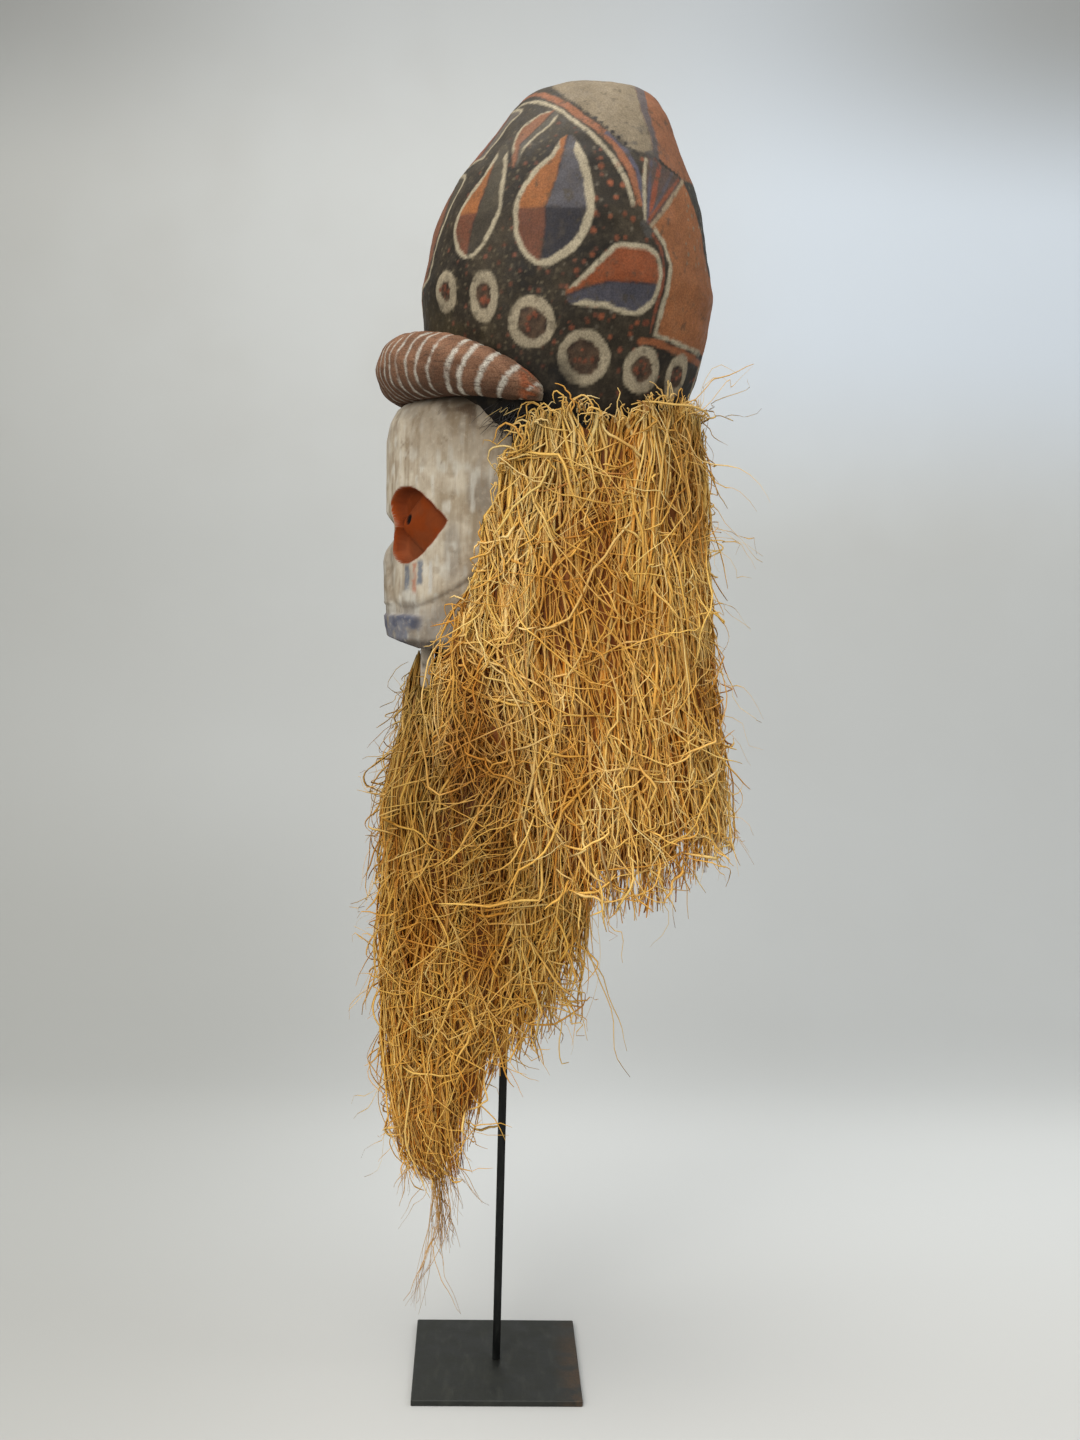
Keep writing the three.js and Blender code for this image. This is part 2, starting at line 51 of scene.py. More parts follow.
# %% [markdown]
# ## Camera
#
# The photograph is a side view. Its camera stands one and a half metres away, at the height of the
# jaw, and looks slightly down. Three angles say how it is turned, and the lens follows from the
# size of the square bar and of the plate.

# %% Camera
CAMERA_PLACE = np.array([1.538194, -0.034096, 0.799219])
CAMERA_PITCH, CAMERA_ROLL, CAMERA_YAW = np.radians([4.6658, 1.5029, 2.3224])
CAMERA_LENS = 38.36

forward = np.array([
    -np.cos(CAMERA_PITCH) * np.cos(CAMERA_YAW),
    np.cos(CAMERA_PITCH) * np.sin(CAMERA_YAW),
    -np.sin(CAMERA_PITCH),
])
level_right = np.cross(forward, [0, 0, 1])
level_right /= np.linalg.norm(level_right)
level_up = np.cross(level_right, forward)
right = np.cos(CAMERA_ROLL) * level_right + np.sin(CAMERA_ROLL) * level_up
up = -np.sin(CAMERA_ROLL) * level_right + np.cos(CAMERA_ROLL) * level_up

camera = bpy.data.objects.new("camera", bpy.data.cameras.new("camera"))
camera.data.lens = CAMERA_LENS
camera.data.sensor_width = 36
turn = np.eye(4)
turn[:3, 0], turn[:3, 1], turn[:3, 2], turn[:3, 3] = right, up, -forward, CAMERA_PLACE
camera.matrix_world = Matrix(turn.tolist())
bpy.context.scene.collection.objects.link(camera)
bpy.context.scene.camera = camera
print("camera lens", CAMERA_LENS, "mm")

# %% [markdown]
# ## Tools for surfaces
#
# Every piece below is made in the same way: a grid of points, faces between neighbouring points,
# and a colour for each point. Value noise, which is random numbers on a cubic lattice with smooth
# blends between them, gives the unevenness that a hand leaves.

# %% Numbers, noise and colours
MM = 0.001


def smooth(low, high, value):
    """Smooth step from 0 at low to 1 at high: t*t*(3-2t) with t the clipped share between them."""
    t = np.clip((value - low) / (high - low), 0, 1)
    return t * t * (3 - 2 * t)


def lattice(cell, seed):
    """Random number from 0 to 1 for each whole-number cell, by mixing its three indices."""
    with np.errstate(over="ignore"):
        h = cell.astype(np.int64).astype(np.uint32)
        h = h[..., 0] * np.uint32(374761393) + h[..., 1] * np.uint32(668265263) \
            + h[..., 2] * np.uint32(2246822519) + np.uint32(seed * 7919 + 13)
        h = (h ^ (h >> np.uint32(13))) * np.uint32(1274126177)
        h = (h ^ (h >> np.uint32(16))) * np.uint32(2654435761)
        return (h ^ (h >> np.uint32(15))) / 4294967295.0


def noise(points, size, seed=0):
    """Value noise from -1 to 1: lattice numbers at the eight corners, blended along x, y and z."""
    place = points / size
    cell = np.floor(place)
    t = place - cell
    t = t * t * (3 - 2 * t)
    total = 0
    for corner in np.ndindex(2, 2, 2):
        share = np.prod(np.where(corner, t, 1 - t), axis=-1)
        total = total + share * lattice(cell + corner, seed)
    return 2 * total - 1


def fractal(points, size, seed=0, octaves=3):
    """Sum of noises, each half as large and half as strong as the one before."""
    return sum(noise(points, size / 2**k, seed + k) / 2**k for k in range(octaves))


OLD_PAINT = 0.59  # share of its light that paint keeps under years of dust and handling


def srgb(*colour):
    """Linear colour from three 0 to 255 screen values: ((c + 0.055) / 1.055) to the power 2.4."""
    c = np.array(colour, float) / 255
    return np.where(c <= 0.04045, c / 12.92, ((c + 0.055) / 1.055) ** 2.4)


def cover(canvas, colour, amount):
    """Colour laid over a canvas of points: old (1 - amount) + colour amount."""
    amount = np.clip(amount, 0, 1)[..., None]
    return canvas * (1 - amount) + colour * amount

# %% [markdown]
# A grid's faces follow from its counts of rows and columns, so the meshes are made without a loop
# over points. Everything made here rides on the one body, and the solids that it stands for are
# hidden.

# %% Meshes
def grid_faces(rows, columns, closed=True, start=0):
    """Quads between neighbouring grid points. Columns wrap round when closed."""
    row, column = np.meshgrid(np.arange(rows - 1), np.arange(columns - (not closed)), indexing="ij")
    following = (column + 1) % columns
    quads = np.stack([
        row * columns + column, row * columns + following,
        (row + 1) * columns + following, (row + 1) * columns + column,
    ], -1)
    return quads.reshape(-1, 4) + start


def strip(first, second):
    """Quads that join two lines of point numbers."""
    return np.stack([first[:-1], first[1:], second[1:], second[:-1]], -1)


def shell_faces(rows, columns):
    """Faces of a closed sheet: an outer grid, an inner one turned over, strips at four edges."""
    count = rows * columns
    line, row = np.arange(rows) * columns, np.arange(columns)
    return [grid_faces(rows, columns, closed=False),
            grid_faces(rows, columns, closed=False, start=count)[:, ::-1],
            strip(line, line + count), strip(line + columns - 1 + count, line + columns - 1),
            strip(row + count, row), strip(row + count - columns, row + 2 * count - columns)]


def fan_faces(ring, centre, flip=False):
    """Triangles from a ring of point numbers to one centre point."""
    after = np.roll(ring, -1)
    middle = np.full_like(ring, centre)
    return np.stack([after, ring, middle] if flip else [ring, after, middle], -1)


def piece(name, points, faces, material, colours=None, stands_for=(), sharp=None):
    """Object from points in millimetres and a list of face arrays, riding on the root body."""
    mesh = bpy.data.meshes.new(name)
    mesh.vertices.add(len(points))
    mesh.vertices.foreach_set("co", (points * MM).astype(np.float32).ravel())
    corners = np.concatenate([f.ravel() for f in faces]).astype(np.int32)
    sizes = np.concatenate([np.full(len(f), f.shape[1]) for f in faces])
    mesh.loops.add(len(corners))
    mesh.loops.foreach_set("vertex_index", corners)
    mesh.polygons.add(len(sizes))
    mesh.polygons.foreach_set("loop_start", (np.cumsum(sizes) - sizes).astype(np.int32))
    mesh.polygons.foreach_set("use_smooth", np.ones(len(sizes), bool))
    for key, values in (colours or {}).items():
        if values.ndim == 2:
            layer = mesh.attributes.new(key, "FLOAT_COLOR", "POINT")
            rgba = np.concatenate([values, np.ones((len(values), 1))], 1)
            layer.data.foreach_set("color", rgba.astype(np.float32).ravel())
        else:
            layer = mesh.attributes.new(key, "FLOAT", "POINT")
            layer.data.foreach_set("value", values.astype(np.float32))
    mesh.materials.append(material)
    mesh.update(calc_edges=True)
    mesh.validate()
    if sharp:
        mesh.set_sharp_from_angle(angle=np.radians(sharp))
    made = bpy.data.objects.new(name, mesh)
    bpy.context.scene.collection.objects.link(made)
    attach(made, "root")
    for node in stands_for:
        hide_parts(node)
    print(f"{name}: {sum(len(f) * (f.shape[1] - 2) for f in faces)} triangles")


def capped(grid, low, high, outward=True):
    """Grid with closed columns, its two ends closed by fans to a low and a high middle point."""
    rows, columns = grid.shape[:2]
    count = rows * columns
    sides = grid_faces(rows, columns)
    faces = [sides if outward else sides[:, ::-1],
             fan_faces(np.arange(columns), count, flip=outward),
             fan_faces(np.arange(count - columns, count), count + 1, flip=not outward)]
    return np.concatenate([grid.reshape(-1, 3), [low, high]]), faces


def grid_normals(grid):
    """Unit normals of a closed-column grid, from the cross product of its two directions."""
    across = np.roll(grid, -1, 1) - np.roll(grid, 1, 1)
    along = np.gradient(grid, axis=0)
    normal = np.cross(across, along)
    return normal / np.maximum(np.linalg.norm(normal, axis=-1, keepdims=True), 1e-9)


def signed_power(value, power):
    """Power that keeps the sign: sign(v) |v|^p."""
    return np.sign(value) * np.abs(value) ** power


def oval(angle, front, back, half, power, grow=0.0):
    """Plan point of a flattened oval grown outwards, for a power p.

    x = (half + grow) sin^(2/p), y = middle - (depth + grow) cos^(2/p).
    """
    x = (half + grow) * signed_power(np.sin(angle), 2 / power)
    y = (front + back) / 2 - ((back - front) / 2 + grow) * signed_power(np.cos(angle), 2 / power)
    return x, y

# %% [markdown]
# ## Tools for materials
#
# Each material reads a painted colour from the points, then adds what is finer than the grid:
# grain, brush marks and dust as noise in the piece's own coordinates, and a bump to match.

# %% Material builder
class Nodes:
    """Short way to write a node tree: add(type, inputs, settings) returns the new node."""

    def __init__(self, name):
        self.material = bpy.data.materials.new(name)
        self.material.use_nodes = True
        self.tree = self.material.node_tree
        self.shader = self.tree.nodes["Principled BSDF"]
        self.place = self.add("ShaderNodeTexCoord").outputs["Object"]

    def add(self, kind, inputs=None, **settings):
        """New node with its settings, and its inputs filled by number or name."""
        node = self.tree.nodes.new(kind)
        for key, value in settings.items():
            setattr(node, key, value)
        for key, value in (inputs or {}).items():
            self.put(node.inputs[key], value)
        return node

    def put(self, socket, value):
        """Links an output to a socket, or sets the socket's own constant."""
        if isinstance(value, bpy.types.NodeSocket):
            self.tree.links.new(value, socket)
        else:
            socket.default_value = value

    def stretched(self, scale):
        """The piece's own coordinates, multiplied along each axis."""
        return self.add("ShaderNodeMapping", {"Vector": self.place, "Scale": scale}).outputs[0]

    def noise(self, size, detail=3.0, stretch=(1, 1, 1), rough=0.55):
        """Noise from 0 to 1 whose blotches are about the size in millimetres."""
        scale = tuple(s / (size * MM) for s in stretch)
        return self.add("ShaderNodeTexNoise", {
            "Vector": self.stretched(scale), "Scale": 1.0, "Detail": detail, "Roughness": rough,
        }).outputs["Fac"]

    def ramp(self, value, low, high, bottom=0.0, top=1.0):
        """Smooth step from bottom at low to top at high."""
        inputs = {0: value, 1: low, 2: high, 3: bottom, 4: top}
        return self.add("ShaderNodeMapRange", inputs, interpolation_type="SMOOTHSTEP").outputs[0]

    def mix(self, factor, a, b, blend="MIX"):
        """Colour a with b laid over it by a factor, or multiplied into it."""
        node = self.add("ShaderNodeMix", data_type="RGBA", blend_type=blend)
        self.put(node.inputs[0], factor)
        self.put(node.inputs[6], a)
        self.put(node.inputs[7], b)
        return node.outputs[2]

    def math(self, kind, a, b=0.0):
        """One step of arithmetic on two numbers."""
        return self.add("ShaderNodeMath", {0: a, 1: b}, operation=kind).outputs[0]

    def painted(self, key="paint"):
        """The colour or number that is stored on the points under a name."""
        return self.add("ShaderNodeAttribute", attribute_name=key)

    def bump(self, height, depth_mm, strength=1.0):
        """Relief in the shading alone, from a height and a depth in millimetres."""
        node = self.add("ShaderNodeBump", {"Height": height, "Distance": depth_mm * MM})
        node.inputs["Strength"].default_value = strength
        self.put(self.shader.inputs["Normal"], node.outputs[0])

    def finish(self, base, rough, gloss=None, metal=None):
        """Puts colour, roughness, gloss and metal on the shader's own sockets."""
        for key, value in (("Base Color", base), ("Roughness", rough),
                           ("Specular IOR Level", gloss), ("Metallic", metal)):
            if value is not None:
                self.put(self.shader.inputs[key], value)
        return self.material


def swatch(*colour):
    """Four linear numbers for a colour socket, from three 0 to 255 screen values."""
    return (*[float(c) for c in srgb(*colour)], 1.0)

# %% [markdown]
# ## Stand
#
# The plate is flame-cut steel with its mill skin blackened and oiled. Its edges are broken with a
# file, so they catch a thin line of light. Near one edge the oil has worn off and the steel has
# begun to rust. The bar is the same steel, square, with its corners rounded by rolling.

# %% Stand
PLATE_HALF, PLATE_HIGH, PLATE_EDGE = 85.0, 6.0, 0.7
ROD_HALF, ROD_EDGE, ROD_FOOT, ROD_TOP = 4.0, 0.6, 6.35, 1265.0

t = Nodes("blackened_steel")
cloud = t.noise(26, 4)
fine = t.noise(2.2, 3)
streak = t.noise(9, 3, stretch=(0.25, 1, 1))
where = t.add("ShaderNodeSeparateXYZ", {0: t.place})
rusty_side = t.ramp(where.outputs["Y"], 0.055, 0.083)
rusty_front = t.ramp(where.outputs["X"], -0.11, 0.02, 0.25, 1)
patch = t.math("MULTIPLY", t.math("MULTIPLY", rusty_side, rusty_front), t.ramp(cloud, 0.36, 0.56))
base = t.mix(t.ramp(cloud, 0.3, 0.72), swatch(30, 31, 27), swatch(45, 46, 40))
base = t.mix(t.ramp(streak, 0.5, 0.75, 0, 0.32), base, swatch(70, 70, 61))
base = t.mix(t.math("MULTIPLY", patch, t.ramp(fine, 0.3, 0.7, 0.45, 1)), base, swatch(82, 63, 45))
t.bump(t.math("ADD", fine, t.math("MULTIPLY", streak, 0.6)), 0.12, 0.5)
plate_steel = t.finish(base, t.ramp(cloud, 0.3, 0.7, 0.42, 0.62), metal=0.35)

t = Nodes("black_bar")
fine = t.noise(3, 3, stretch=(1, 1, 0.2))
base = t.mix(t.ramp(fine, 0.35, 0.7), swatch(12, 13, 12), swatch(28, 30, 27))
t.bump(fine, 0.08, 0.5)
bar_steel = t.finish(base, t.ramp(fine, 0.3, 0.7, 0.38, 0.55), gloss=0.25, metal=0.3)


def edged_bar(half, edge, foot, top, levels):
    """Square bar with corners cut at 45 degrees and its two end edges broken in the same way."""
    corner = half - edge
    plan = np.array([[corner, -half], [half, -corner], [half, corner], [corner, half],
                     [-corner, half], [-half, corner], [-half, -corner], [-corner, -half]])
    inner = plan * (corner / half)
    between = np.linspace(foot + edge, top - edge, levels)[1:-1]
    heights = [foot, foot + edge, *between, top - edge, top]
    rings = [np.column_stack([inner if h in (foot, top) else plan, np.full(8, h)]) for h in heights]
    points = np.concatenate([*rings, [[0, 0, foot], [0, 0, top]]])
    last = len(rings) * 8
    return points, [grid_faces(len(rings), 8), fan_faces(np.arange(8), last, flip=True),
                    fan_faces(np.arange(last - 8, last), last + 1)]


points, faces = edged_bar(PLATE_HALF, PLATE_EDGE, 0, PLATE_HIGH, 2)
piece("steel_plate", points, faces, plate_steel,
      stands_for=["base_plate"], sharp=30)
points, faces = edged_bar(ROD_HALF, ROD_EDGE, ROD_FOOT, ROD_TOP, 30)
piece("steel_bar", points, faces, bar_steel,
      stands_for=["stand_rod"], sharp=30)

# %% [markdown]
# ## Headdress: the dome
#
# Wet cloth pulled over oval hoops lies straight between one hoop and the next, so the dome shows
# soft creases at the hoops. Each hoop is a flattened oval with its own front, back and half width.
# The profile runs up the inside, over the rim and up the outside, which gives the cloth its wall.

# %% Headdress: shape
RIM_DIP, DOME_POWER, CLOTH_WALL = 19.0, 2.1, 5.0
DOME = np.array([  # height, front, back, half width, rim dip
    [967, -80, 162, 102, 1], [1012, -90, 172, 117, 0], [1050, -96, 182, 127, 0],
    [1088, -99, 187, 131, 0], [1148, -87, 177, 127, 0], [1172, -78, 173, 121, 0],
    [1196, -66, 164, 113, 0], [1226, -42, 151, 97, 0], [1260, -17, 139, 73, 0],
    [1280, 3, 127, 52, 0], [1289, 22, 111, 34, 0], [1291, 65, 67, 1, 0],
], float)
DOME_COLUMNS_NEAR, DOME_COLUMNS_FAR = 300, 128
DOME_ROWS_OUT, DOME_ROWS_IN = 196, 14


def profile(rows, inset=0.0):
    """Dome levels evenly spaced along the side profile, with each crease eased over a few mm."""
    sizes = DOME.copy()
    sizes[:, 0] -= inset * smooth(1148, 1289, sizes[:, 0])
    steps = np.hypot(np.diff(sizes[:, 3]), np.diff(sizes[:, 0]))
    length = np.concatenate([[0], np.cumsum(steps)])
    at = np.linspace(0, length[-1], rows)
    eased = 0
    for shift in (-6.0, -2.0, 2.0, 6.0):
        place = np.clip(at + shift * np.minimum(1, at / 12), 0, length[-1])
        eased = eased + np.stack([np.interp(place, length, column) for column in sizes.T], -1) / 4
    return eased


near = np.linspace(0, np.pi, DOME_COLUMNS_NEAR, endpoint=False)
far = 2 * np.pi - np.pi * np.linspace(1, 0, DOME_COLUMNS_FAR, endpoint=False) ** 1.35
dome_angles = np.concatenate([near, far])


def dome_rows(levels, grow):
    """Grid of points, one row for each level and one column for each angle."""
    z, front, back, half, dip = levels.T[:, :, None]
    x, y = oval(dome_angles, front, back, np.maximum(half + grow, 0.5) - grow, DOME_POWER, grow)
    return np.stack([x, y, z + dip * RIM_DIP * np.cos(2 * dome_angles)], -1)


outside = dome_rows(profile(DOME_ROWS_OUT)[:-1], 0)
inside = dome_rows(profile(DOME_ROWS_IN, CLOTH_WALL)[1:-1], -CLOTH_WALL)[::-1]
rim = []
for step in np.linspace(1, 0, 5)[:-1]:
    ring = dome_rows(DOME[:1], -CLOTH_WALL * step)
    ring[..., 2] -= 2.0 * np.sin(np.pi * (0.15 + 0.7 * step))
    rim.append(ring)
first_outside = len(inside) + len(rim)
dome = np.concatenate([inside, *rim, outside])

normal = grid_normals(dome)
lumps = 1.1 * fractal(dome, 46, 3) + 0.45 * fractal(dome, 13, 8, 2)
puckers = 0.6 * noise(dome * [1, 1, 0.25], 9, 5) * (1 - smooth(960, 1060, dome[..., 2]))
row_numbers, last_row = np.arange(len(dome)), len(dome) - 1
hold = smooth(0, 8, row_numbers) * (1 - smooth(last_row - 6, last_row, row_numbers))
dome_relief = (lumps + puckers) * hold[:, None]
print("dome grid", dome.shape[:2])

# %% [markdown]
# ## Headdress: the painting
#
# The painter laid a black ground, then filled leaf shapes with orange, brown and blue-grey clay
# paint, and went round them in thick cream lines. Rows of dots fill the ground. Everything is laid
# out in the side view, where each height and depth meets the dome's flank once, and widths are
# measured as true distances on the dome, so a line keeps its width where the dome turns away.

# %% Headdress: painting tools
flank = dome.reshape(-1, 3).copy()
flank[:, 0] = np.abs(flank[:, 0])
side_y, side_z = flank[:, 1], flank[:, 2]
wobble = 0.8 * noise(flank, 3.6, 21) + 0.6 * noise(flank, 9, 22)
paint = np.zeros_like(flank)
thick = np.zeros(len(flank))

# The red-brown and the deep blue are orange and blue-grey in painted shade, for the leaves below
# the crease.
CREAM, ORANGE, ORANGE_IN_SHADE = srgb(200, 185, 154), srgb(174, 108, 60), srgb(126, 78, 56)
BLUE_GREY, BLUE_GREY_IN_SHADE = srgb(98, 94, 97), srgb(60, 57, 61)
GREY_BROWN, GROUND = srgb(86, 78, 63), srgb(41, 35, 27)


def on_flank(line):
    """Side-view points (y, z) put on the dome: x = half (1 - |share of depth|^p)^(1/p)."""
    y, z = np.asarray(line, float).T
    front, back, half = (np.interp(z, DOME[:, 0], DOME[:, k]) for k in (1, 2, 3))
    share = np.clip(np.abs((y - (front + back) / 2) / ((back - front) / 2)), 0, 1)
    return np.stack([half * (1 - share**DOME_POWER) ** (1 / DOME_POWER), y, z], -1)


def curve(points, closed=False, steps=6):
    """Smooth curve through a few points: each piece is a Catmull-Rom cubic."""
    p = np.asarray(points, float)
    ends = [p[-1:], p, p[:2]] if closed else [2 * p[:1] - p[1:2], p, 2 * p[-1:] - p[-2:-1]]
    p = np.concatenate(ends)
    t = np.linspace(0, 1, steps, endpoint=False)[:, None]
    parts = [0.5 * (2 * b + (c - a) * t + (2 * a - 5 * b + 4 * c - d) * t**2
                    + (3 * b - a - 3 * c + d) * t**3)
             for a, b, c, d in zip(p, p[1:], p[2:], p[3:])]
    return np.concatenate(parts + ([] if closed else [p[-2:-1]]))


def distance(line, closed=False, reach=16.0):
    """True distance of every dome point from a drawn line, or the reach where it is farther."""
    path = on_flank(line)
    path = np.concatenate([path, path[:1]]) if closed else path
    low, high = path.min(0) - reach, path.max(0) + reach
    close = np.flatnonzero(np.all((flank > low) & (flank < high), axis=1))
    best = np.full(len(flank), reach)
    spot = flank[close]
    for a, b in zip(path, path[1:]):
        span = b - a
        t = np.clip((spot - a) @ span / max(span @ span, 1e-9), 0, 1)
        best[close] = np.minimum(best[close], np.linalg.norm(spot - a - t[:, None] * span, axis=1))
    return best


def within(line):
    """Even-odd test in the side view: inside when a level ray crosses an odd number of sides."""
    odd = np.zeros(len(flank), bool)
    for (y0, z0), (y1, z1) in zip(line, np.roll(line, -1, axis=0)):
        if z0 != z1:
            crosses = (z0 > side_z) != (z1 > side_z)
            odd ^= crosses & (side_y < y0 + (side_z - z0) * (y1 - y0) / (z1 - z0))
    return odd


def lay(colour, amount, body=0.0):
    """Paint over what is there: new = old (1 - amount) + colour amount. Body is its thickness."""
    paint[:] = cover(paint, colour, amount)
    thick[:] = thick * (1 - amount) + body * amount


def edge(gap, soft=0.9):
    """Cover that is 1 where the gap is negative and 0 where it is positive, with a soft edge."""
    return np.clip(0.5 - gap / (2 * soft), 0, 1)


def stroke(points, width, colour, body=0.35, wobbly=1.0, smooth_line=True):
    """Brush line of one width along a curve."""
    line = curve(points) if smooth_line else points
    dry = np.clip(1.15 - 0.7 * smooth(0.2, 0.9, noise(flank, 4.5, 26)), 0, 1)
    uneven = 0.12 * width * noise(flank, 16, 27)
    lay(colour, edge(distance(line) - width / 2 + wobble * wobbly + uneven) * dry, body)


def area(points, colour):
    """Area filled up to a closed outline."""
    line = np.asarray(points, float)
    gap = distance(line, closed=True, reach=6)
    lay(colour, edge(np.where(within(line), -gap, gap) + wobble * 0.8))


print("painting on", len(flank), "points")

# %% [markdown]
# First comes the ground, browner where it has rubbed and paler above the upper hoop, from dust and
# from painted sheen of the light above; then the rows of dots. The panels behind are areas of flat
# colour with ragged edges, laid one over another in the painter's order.

# %% Headdress: ground, dots and panels
grain = fractal(flank, 30, 31)
paint[:] = cover(GROUND, srgb(71, 61, 46), 0.5 + 0.6 * grain)
ochre = smooth(-10, -70, side_y) * smooth(1100, 1035, side_z) \
    * smooth(-0.3, 0.5, fractal(flank, 18, 33))
lay(srgb(92, 80, 52), 0.6 * ochre)
# Paler, greyer ground above the upper hoop: dust, and painted sheen from the light above.
lay(srgb(78, 72, 62), 0.5 * smooth(1150, 1215, side_z) * smooth(-0.7, 0.5, grain))

rng = np.random.default_rng(7)


def scatter(low, high, spacing):
    """Uneven rows of spots in the side view: a grid of the given spacing, each spot shifted."""
    rows = np.arange(low[1], high[1], spacing)
    places = np.array([(y + (k % 2) * spacing / 2, z) for k, z in enumerate(rows)
                       for y in np.arange(low[0], high[0], spacing)])
    return places + rng.uniform(-0.33, 0.33, places.shape) * spacing


def spots(places, size, colour, body=0.25):
    """Round dabs of paint, each larger or smaller and fresher or paler than the given one."""
    for place, grow in zip(on_flank(places), rng.uniform(0.55, 1.45, len(places))):
        close = np.flatnonzero(np.abs(flank - place).max(1) < size * 3)
        gap = np.linalg.norm(flank[close] - place, axis=1) - size * grow / 2 + 0.6 * wobble[close]
        amount = edge(gap, 0.8) * min(1, 0.35 + 0.6 * grow)
        paint[close] = cover(paint[close], colour * rng.uniform(0.75, 1.3), amount)
        thick[close] += body * amount


spots(scatter((-98, 1006), (30, 1256), 7.6), 2.0, srgb(114, 102, 79))
spots(scatter((-70, 1010), (66, 1232), 13.0), 2.8, srgb(124, 76, 56))
spots(scatter((36, 1040), (100, 1215), 15.0), 2.6, srgb(116, 106, 90))
spots(scatter((48, 1035), (112, 1215), 15.0), 4.4, srgb(146, 84, 56))
spots(scatter((30, 990), (170, 1050), 18.0), 3.6, srgb(134, 76, 54))

REAR_EDGE = [(117, 1134), (127, 1122), (133, 1104), (130, 1077), (122, 1047), (121, 1041)]
STRIP = [(146, 1189), (156, 1173), (167, 1149), (174, 1122), (178, 1109)]
TOP_REAR = [(101, 1300), (101, 1281), (104, 1254), (113, 1225), (115, 1206)]

area([*TOP_REAR, (146, 1190), (200, 1170), (200, 1300)], srgb(168, 108, 72))
area([*TOP_REAR, (121, 1203), (119, 1225), (112, 1256), (110, 1300)], srgb(112, 100, 98))
area([(24, 1300), (24, 1276), (34, 1261), (52, 1246), (70, 1228), (84, 1215), (96, 1207),
      *TOP_REAR[::-1]], srgb(158, 141, 114))
area([(111, 1133), (127, 1154), (146, 1189), (110, 1203), (107, 1176)], srgb(100, 78, 68))
area([(111, 1133), (127, 1154), *STRIP, (230, 1100), (230, 1034), (147, 1036), *REAR_EDGE[::-1]],
     srgb(174, 111, 68))
for foot, top, colour, width in (
        ((110, 1140), (121, 1196), srgb(158, 84, 56), 5),
        ((110, 1140), (134, 1192), srgb(96, 88, 92), 3),
        ((109, 1142), (113, 1198), srgb(96, 92, 104), 3),
        ((111, 1142), (141, 1188), srgb(160, 88, 58), 3)):
    stroke([foot, top], width, colour, 0.1, 0.5)
sooty = smooth(0.1, 0.6, fractal(flank, 9, 41)) \
    * smooth(40, 12, np.hypot(side_y - 104, side_z - 1206))
lay(srgb(84, 80, 76), 0.8 * sooty)
area([*STRIP, (230, 1104), (230, 1200), (170, 1200)], srgb(66, 62, 54))
spots(scatter((150, 1112), (186, 1196), 8.0), 2.4, srgb(160, 146, 120))
print(f"dots stand on {np.mean(thick > 0.1):.0%} of the points")

# %% [markdown]
# The arch that parts the flank from the top panel is four lines laid side by side. The row of
# black dots on its upper side was dabbed last.

# %% Headdress: arch
stroke([(-12, 1266), (6, 1272), (29, 1256), (47, 1240), (72, 1219), (86, 1199), (95, 1181),
        (102, 1156)], 7.5, srgb(170, 108, 74))
stroke([(72, 1222), (88, 1206), (100, 1185), (104, 1164), (107, 1150)], 4, srgb(98, 94, 108))
stroke([(-14, 1256), (-1, 1262), (20, 1253), (40, 1236), (65, 1212), (79, 1193), (88, 1177),
        (96, 1154)], 4.5, CREAM, 0.5)
spots(curve([(22, 1272), (40, 1254), (61, 1238), (77, 1224), (93, 1209), (100, 1203)], steps=3),
      3.4, srgb(40, 36, 36), 0.5)
stroke([(108, 1199), (106, 1176), (107, 1141)], 3.4, CREAM, 0.4)
stroke([(146, 1189), (127, 1156), (111, 1134)], 4, srgb(182, 160, 128), 0.4)
stroke([(106, 1137), (112, 1130)], 9, srgb(84, 80, 74))
stroke([*REAR_EDGE, (147, 1036), (200, 1032)], 4.2, CREAM, 0.45, smooth_line=False)
stroke([(115, 1129), (124, 1116), (126, 1090), (120, 1062), (116, 1042)], 3, srgb(150, 84, 58), 0.1)
stroke([(108, 1034), (122, 1034), (150, 1029), (200, 1024)], 7, srgb(168, 102, 64), 0.1)

# %% [markdown]
# The leaves come next. The painter first laid each one down whole in thick cream, then filled it in
# two colours and left the cream standing as a border. The border runs out where a leaf meets the
# arch, so those tips stay open. Below the crease at the upper hoop, the two large leaves take
# darker copies of their colours: painted shade on the lower facet.

# %% Headdress: leaves
def leaf(outline, border, divider, colours, by_height=False, crease=None, open_at=(), bold=0.0):
    """Leaf: a cream shape, filled inside its border with two colours that meet at a divider.

    The border thins to nothing near each open tip and is bolder on the second colour's side. Below
    a crease height the two colours give way to darker copies, which are painted shade.
    """
    line = curve(outline, closed=True)
    gap = distance(line, closed=True)
    gap = np.where(within(line), -gap, gap) + 0.7 * wobble
    lay(CREAM, edge(gap), 0.5)
    y, z = np.asarray(divider, float).T
    offset = np.interp(side_y, y, z) - side_z if by_height else \
        side_y - np.interp(side_z, z[::-1], y[::-1])
    second = edge(-offset + 0.8 * wobble, 0.7)
    border = border * (1 + bold * smooth(-6, 6, offset)) * (1 + 0.16 * noise(flank, 12, 23))
    for tip_y, tip_z, radius in open_at:
        border = border * smooth(0.45, 1.0, np.hypot(side_y - tip_y, side_z - tip_z) / radius) - 0.6
    first_colour, second_colour = colours[:2]
    # Painted shade: below the crease the fill takes the darker third and fourth colours.
    if crease:
        low = edge(side_z - crease + 0.5 * wobble)
        first_colour = cover(first_colour, colours[2], low)
        second_colour = cover(second_colour, colours[3], low)
    fill = cover(first_colour, second_colour, second)
    lay(fill, edge(gap + border + 0.5 * wobble), 0.05)
    seam = np.abs(offset) + 0.8 * wobble
    lay(srgb(60, 46, 44), 0.6 * edge(seam - 0.9) * edge(gap + border), 0.05)


